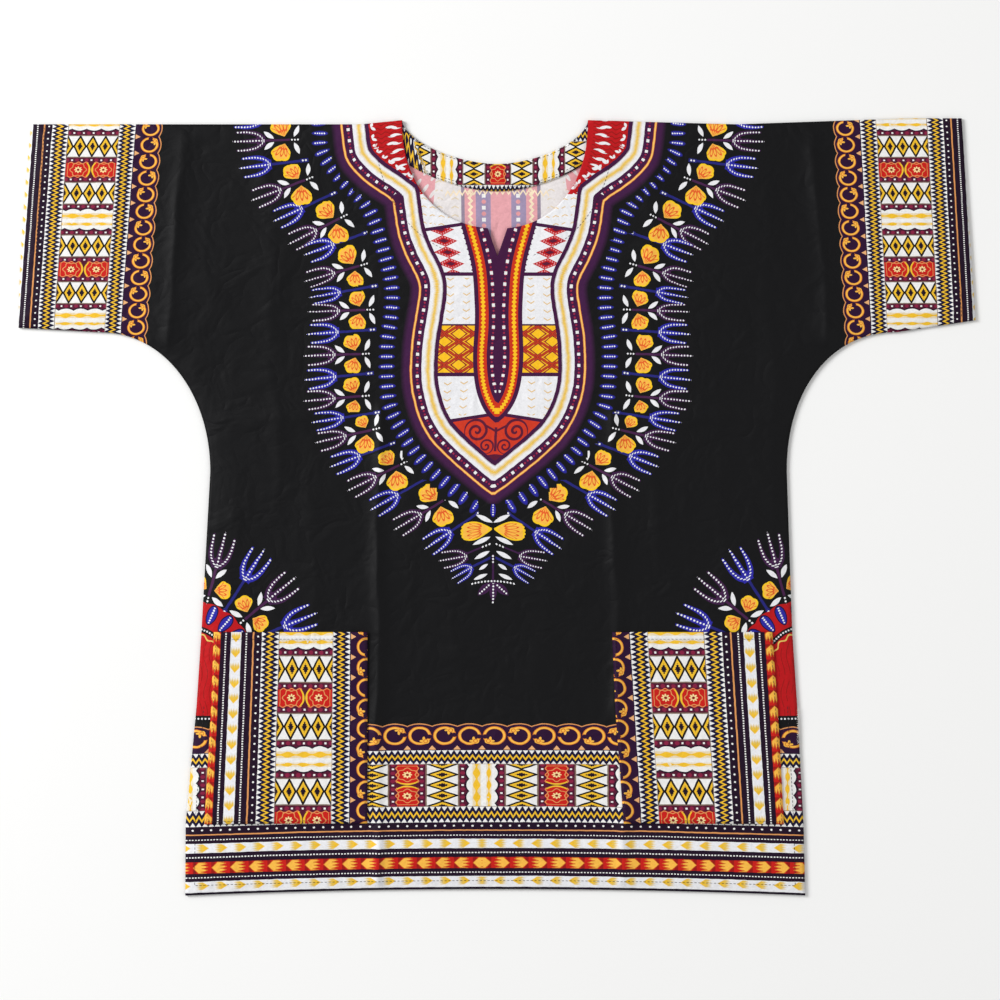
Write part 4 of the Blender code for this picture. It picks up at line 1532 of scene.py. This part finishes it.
def rowPath(first, last, row):
    # points along one row of the cut, from a first column to a last
    x, y = planOf(np.linspace(first, last, 200), np.array([float(row)]), True)
    return onFront(x[0], y[0])


def columnPath(column, first, last):
    x, y = planOf(np.array([float(column)]), np.linspace(first, last, 100), True)
    return onFront(x[:, 0], y[:, 0])


def pocketPaths(first, last):
    # round the two sides and the foot, and across below the mouth
    inset = thread["pocketInset"]
    top = knots["pocketTopRow"] + thread["pocketTop"]
    foot = knots["pocketFootRow"] - inset
    paths = []
    for column in (first + inset, last - inset):
        path = columnPath(column, top, foot)
        path[:, 2:] += pocketLift(np.linspace(top, foot, len(path))) + cut["cloth"]
        paths.append(path)
    for row in (foot, knots["pocketTopRow"] + thread["pocketHem"]):
        path = rowPath(first + inset, last - inset, row)
        path[:, 2:] += pocketLift(np.array([row])) + cut["cloth"]
        paths.append(path)
    return paths


def makeAllStitches():
    dark = sewingThread("darkSewingThread", thread["ink"])
    foot = thread["hemRow"]
    hem = [rowPath(knots["leftFold"] + 0.5, knots["rightFold"] - 0.5, foot)]
    hem += [columnPath(column, *thread["cuffRows"]) for column in thread["cuffColumns"]]
    hem += [columnPath(column, thread["ventRow"], foot) for column in thread["ventColumns"]]
    makeStitches("hemStitches", hem, dark)
    sewn = pocketPaths(knots["leftPocketOut"], knots["leftPocketIn"])
    sewn += pocketPaths(knots["rightCrease"], knots["rightPocketOut"])
    makeStitches("pocketStitches", sewn, dark)

    turn = np.linspace(*thread["neckTurns"], 120)
    power = 2 / cut["frontNeckPower"]
    neck = []
    for neckX in (cut["leftNeckX"], cut["rightNeckX"]):
        across = thread["neckFacing"] * (neckX - cut["centreX"]) * np.cos(turn) ** power
        down = thread["neckFacing"] * cut["frontNeckDrop"] * np.sin(turn) ** power
        neck.append(onFront(cut["centreX"] + across, cut["neckPointY"] - down))
    makeStitches("neckFacingStitches", neck, dark)

    around = np.linspace(thread["facingEnd"], math.pi - thread["facingEnd"], 300)
    level = cut["cloth"] + cut["seamGap"] + cut["facingCloth"]
    rows = []
    for outset in thread["facingRows"]:
        x, y = facingPlan(around, outset)
        rows.append(np.stack((x, y, np.full_like(x, level)), axis=-1))
    makeStitches("facingStitches", rows, dark)

    x, top, foot = thread["overlock"]
    y = np.arange(top, foot, -thread["overlockStep"])
    x = x + thread["overlockHalf"] * (np.arange(len(y)) % 2 * 2 - 1)
    white = sewingThread("whiteOverlockThread", thread["overlockInk"])
    lengths = (thread["overlockLength"], thread["overlockGap"])
    makeStitches("ventOverlock", [onFront(x, y)], white, *lengths)


# Floor, light and camera.
studio = {
    "floorHalf": 4000.0,
    "floorLevel": -0.2,
    "floorColour": "#FBFBFA",
    "skyStrength": 0.45,
    "keyPower": 215.0,
    "keySize": 2.2,
    "keyPlace": (-3.75, 1.7, 2.75),
    "fillPower": 12.0,
    "fillPlace": (2.2, -0.6, 2.0),
    "cameraX": 3.0,
    "cameraY": 7.3,
    "aimHeight": 5.0,
    "lens": 100.0,
    "sensor": 36.0,
    "frameWidth": 1000.0,  # what the camera takes in at the height that it aims at
}


def makeStudio():
    half = studio["floorHalf"]
    corners = np.array(((-half, -half), (half, -half), (half, half), (-half, half)))
    corners = np.insert(corners, 2, studio["floorLevel"], axis=1)
    floor = newPiece("floor", corners, [(0, 1, 2, 3)])
    # seamless paper: even and without shine
    paper = {"Roughness": 1.0, "Specular IOR Level": 0.0}
    paper["Base Color"] = linear(studio["floorColour"])
    floor.data.materials.append(newMaterial("mattWhitePaper", paper)[0])
    world = bpy.data.worlds.new("softSky")
    world.use_nodes = True
    sky = world.node_tree.nodes["Background"]
    sky.inputs["Color"].default_value = (1.0, 1.0, 1.0, 1.0)
    sky.inputs["Strength"].default_value = studio["skyStrength"]
    bpy.context.scene.world = world
    for name in ("key", "fill"):
        light = bpy.data.lights.new(name + "Light", "AREA")
        light.energy = studio[name + "Power"]
        light.size = studio["keySize"]
        lamp = placed(light.name, light)
        lamp.location = x, y, z = studio[name + "Place"]
        tilt = math.atan2(math.hypot(x, y), z)
        lamp.rotation_euler = (tilt, 0.0, math.atan2(y, x) + math.pi / 2)
    lens = bpy.data.cameras.new("camera")
    lens.lens = studio["lens"]
    lens.sensor_width = studio["sensor"]
    camera = placed("camera", lens)
    away = studio["frameWidth"] * studio["lens"] / studio["sensor"]
    height = away + studio["aimHeight"]
    camera.location = (studio["cameraX"] * mm, studio["cameraY"] * mm, height * mm)
    bpy.context.scene.camera = camera
    bpy.context.scene.view_settings.view_transform = "Standard"


# Putting it together.
print("back")
backPanel = makeBack()
print("front")
frontPanel = makeFront()
print("pockets")
pocketLeft = makePocket("pocketLeft", knots["leftPocketOut"], knots["leftPocketIn"], 0)
pocketRight = makePocket("pocketRight", knots["rightCrease"], knots["rightPocketOut"], 1)
print("facing")
neckFacing = makeFacing()

for piece, node, finish in (
    (backPanel, "back", "printed_cotton"),
    (frontPanel, "front", "printed_cotton"),
    (pocketLeft, "pocket_left", "border_print"),
    (pocketRight, "pocket_right", "border_print"),
    (neckFacing, "back_neck_facing", "border_print"),
):
    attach(piece, "root")
    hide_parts(node)

print("stitches")
makeAllStitches()

print("studio")
makeStudio()
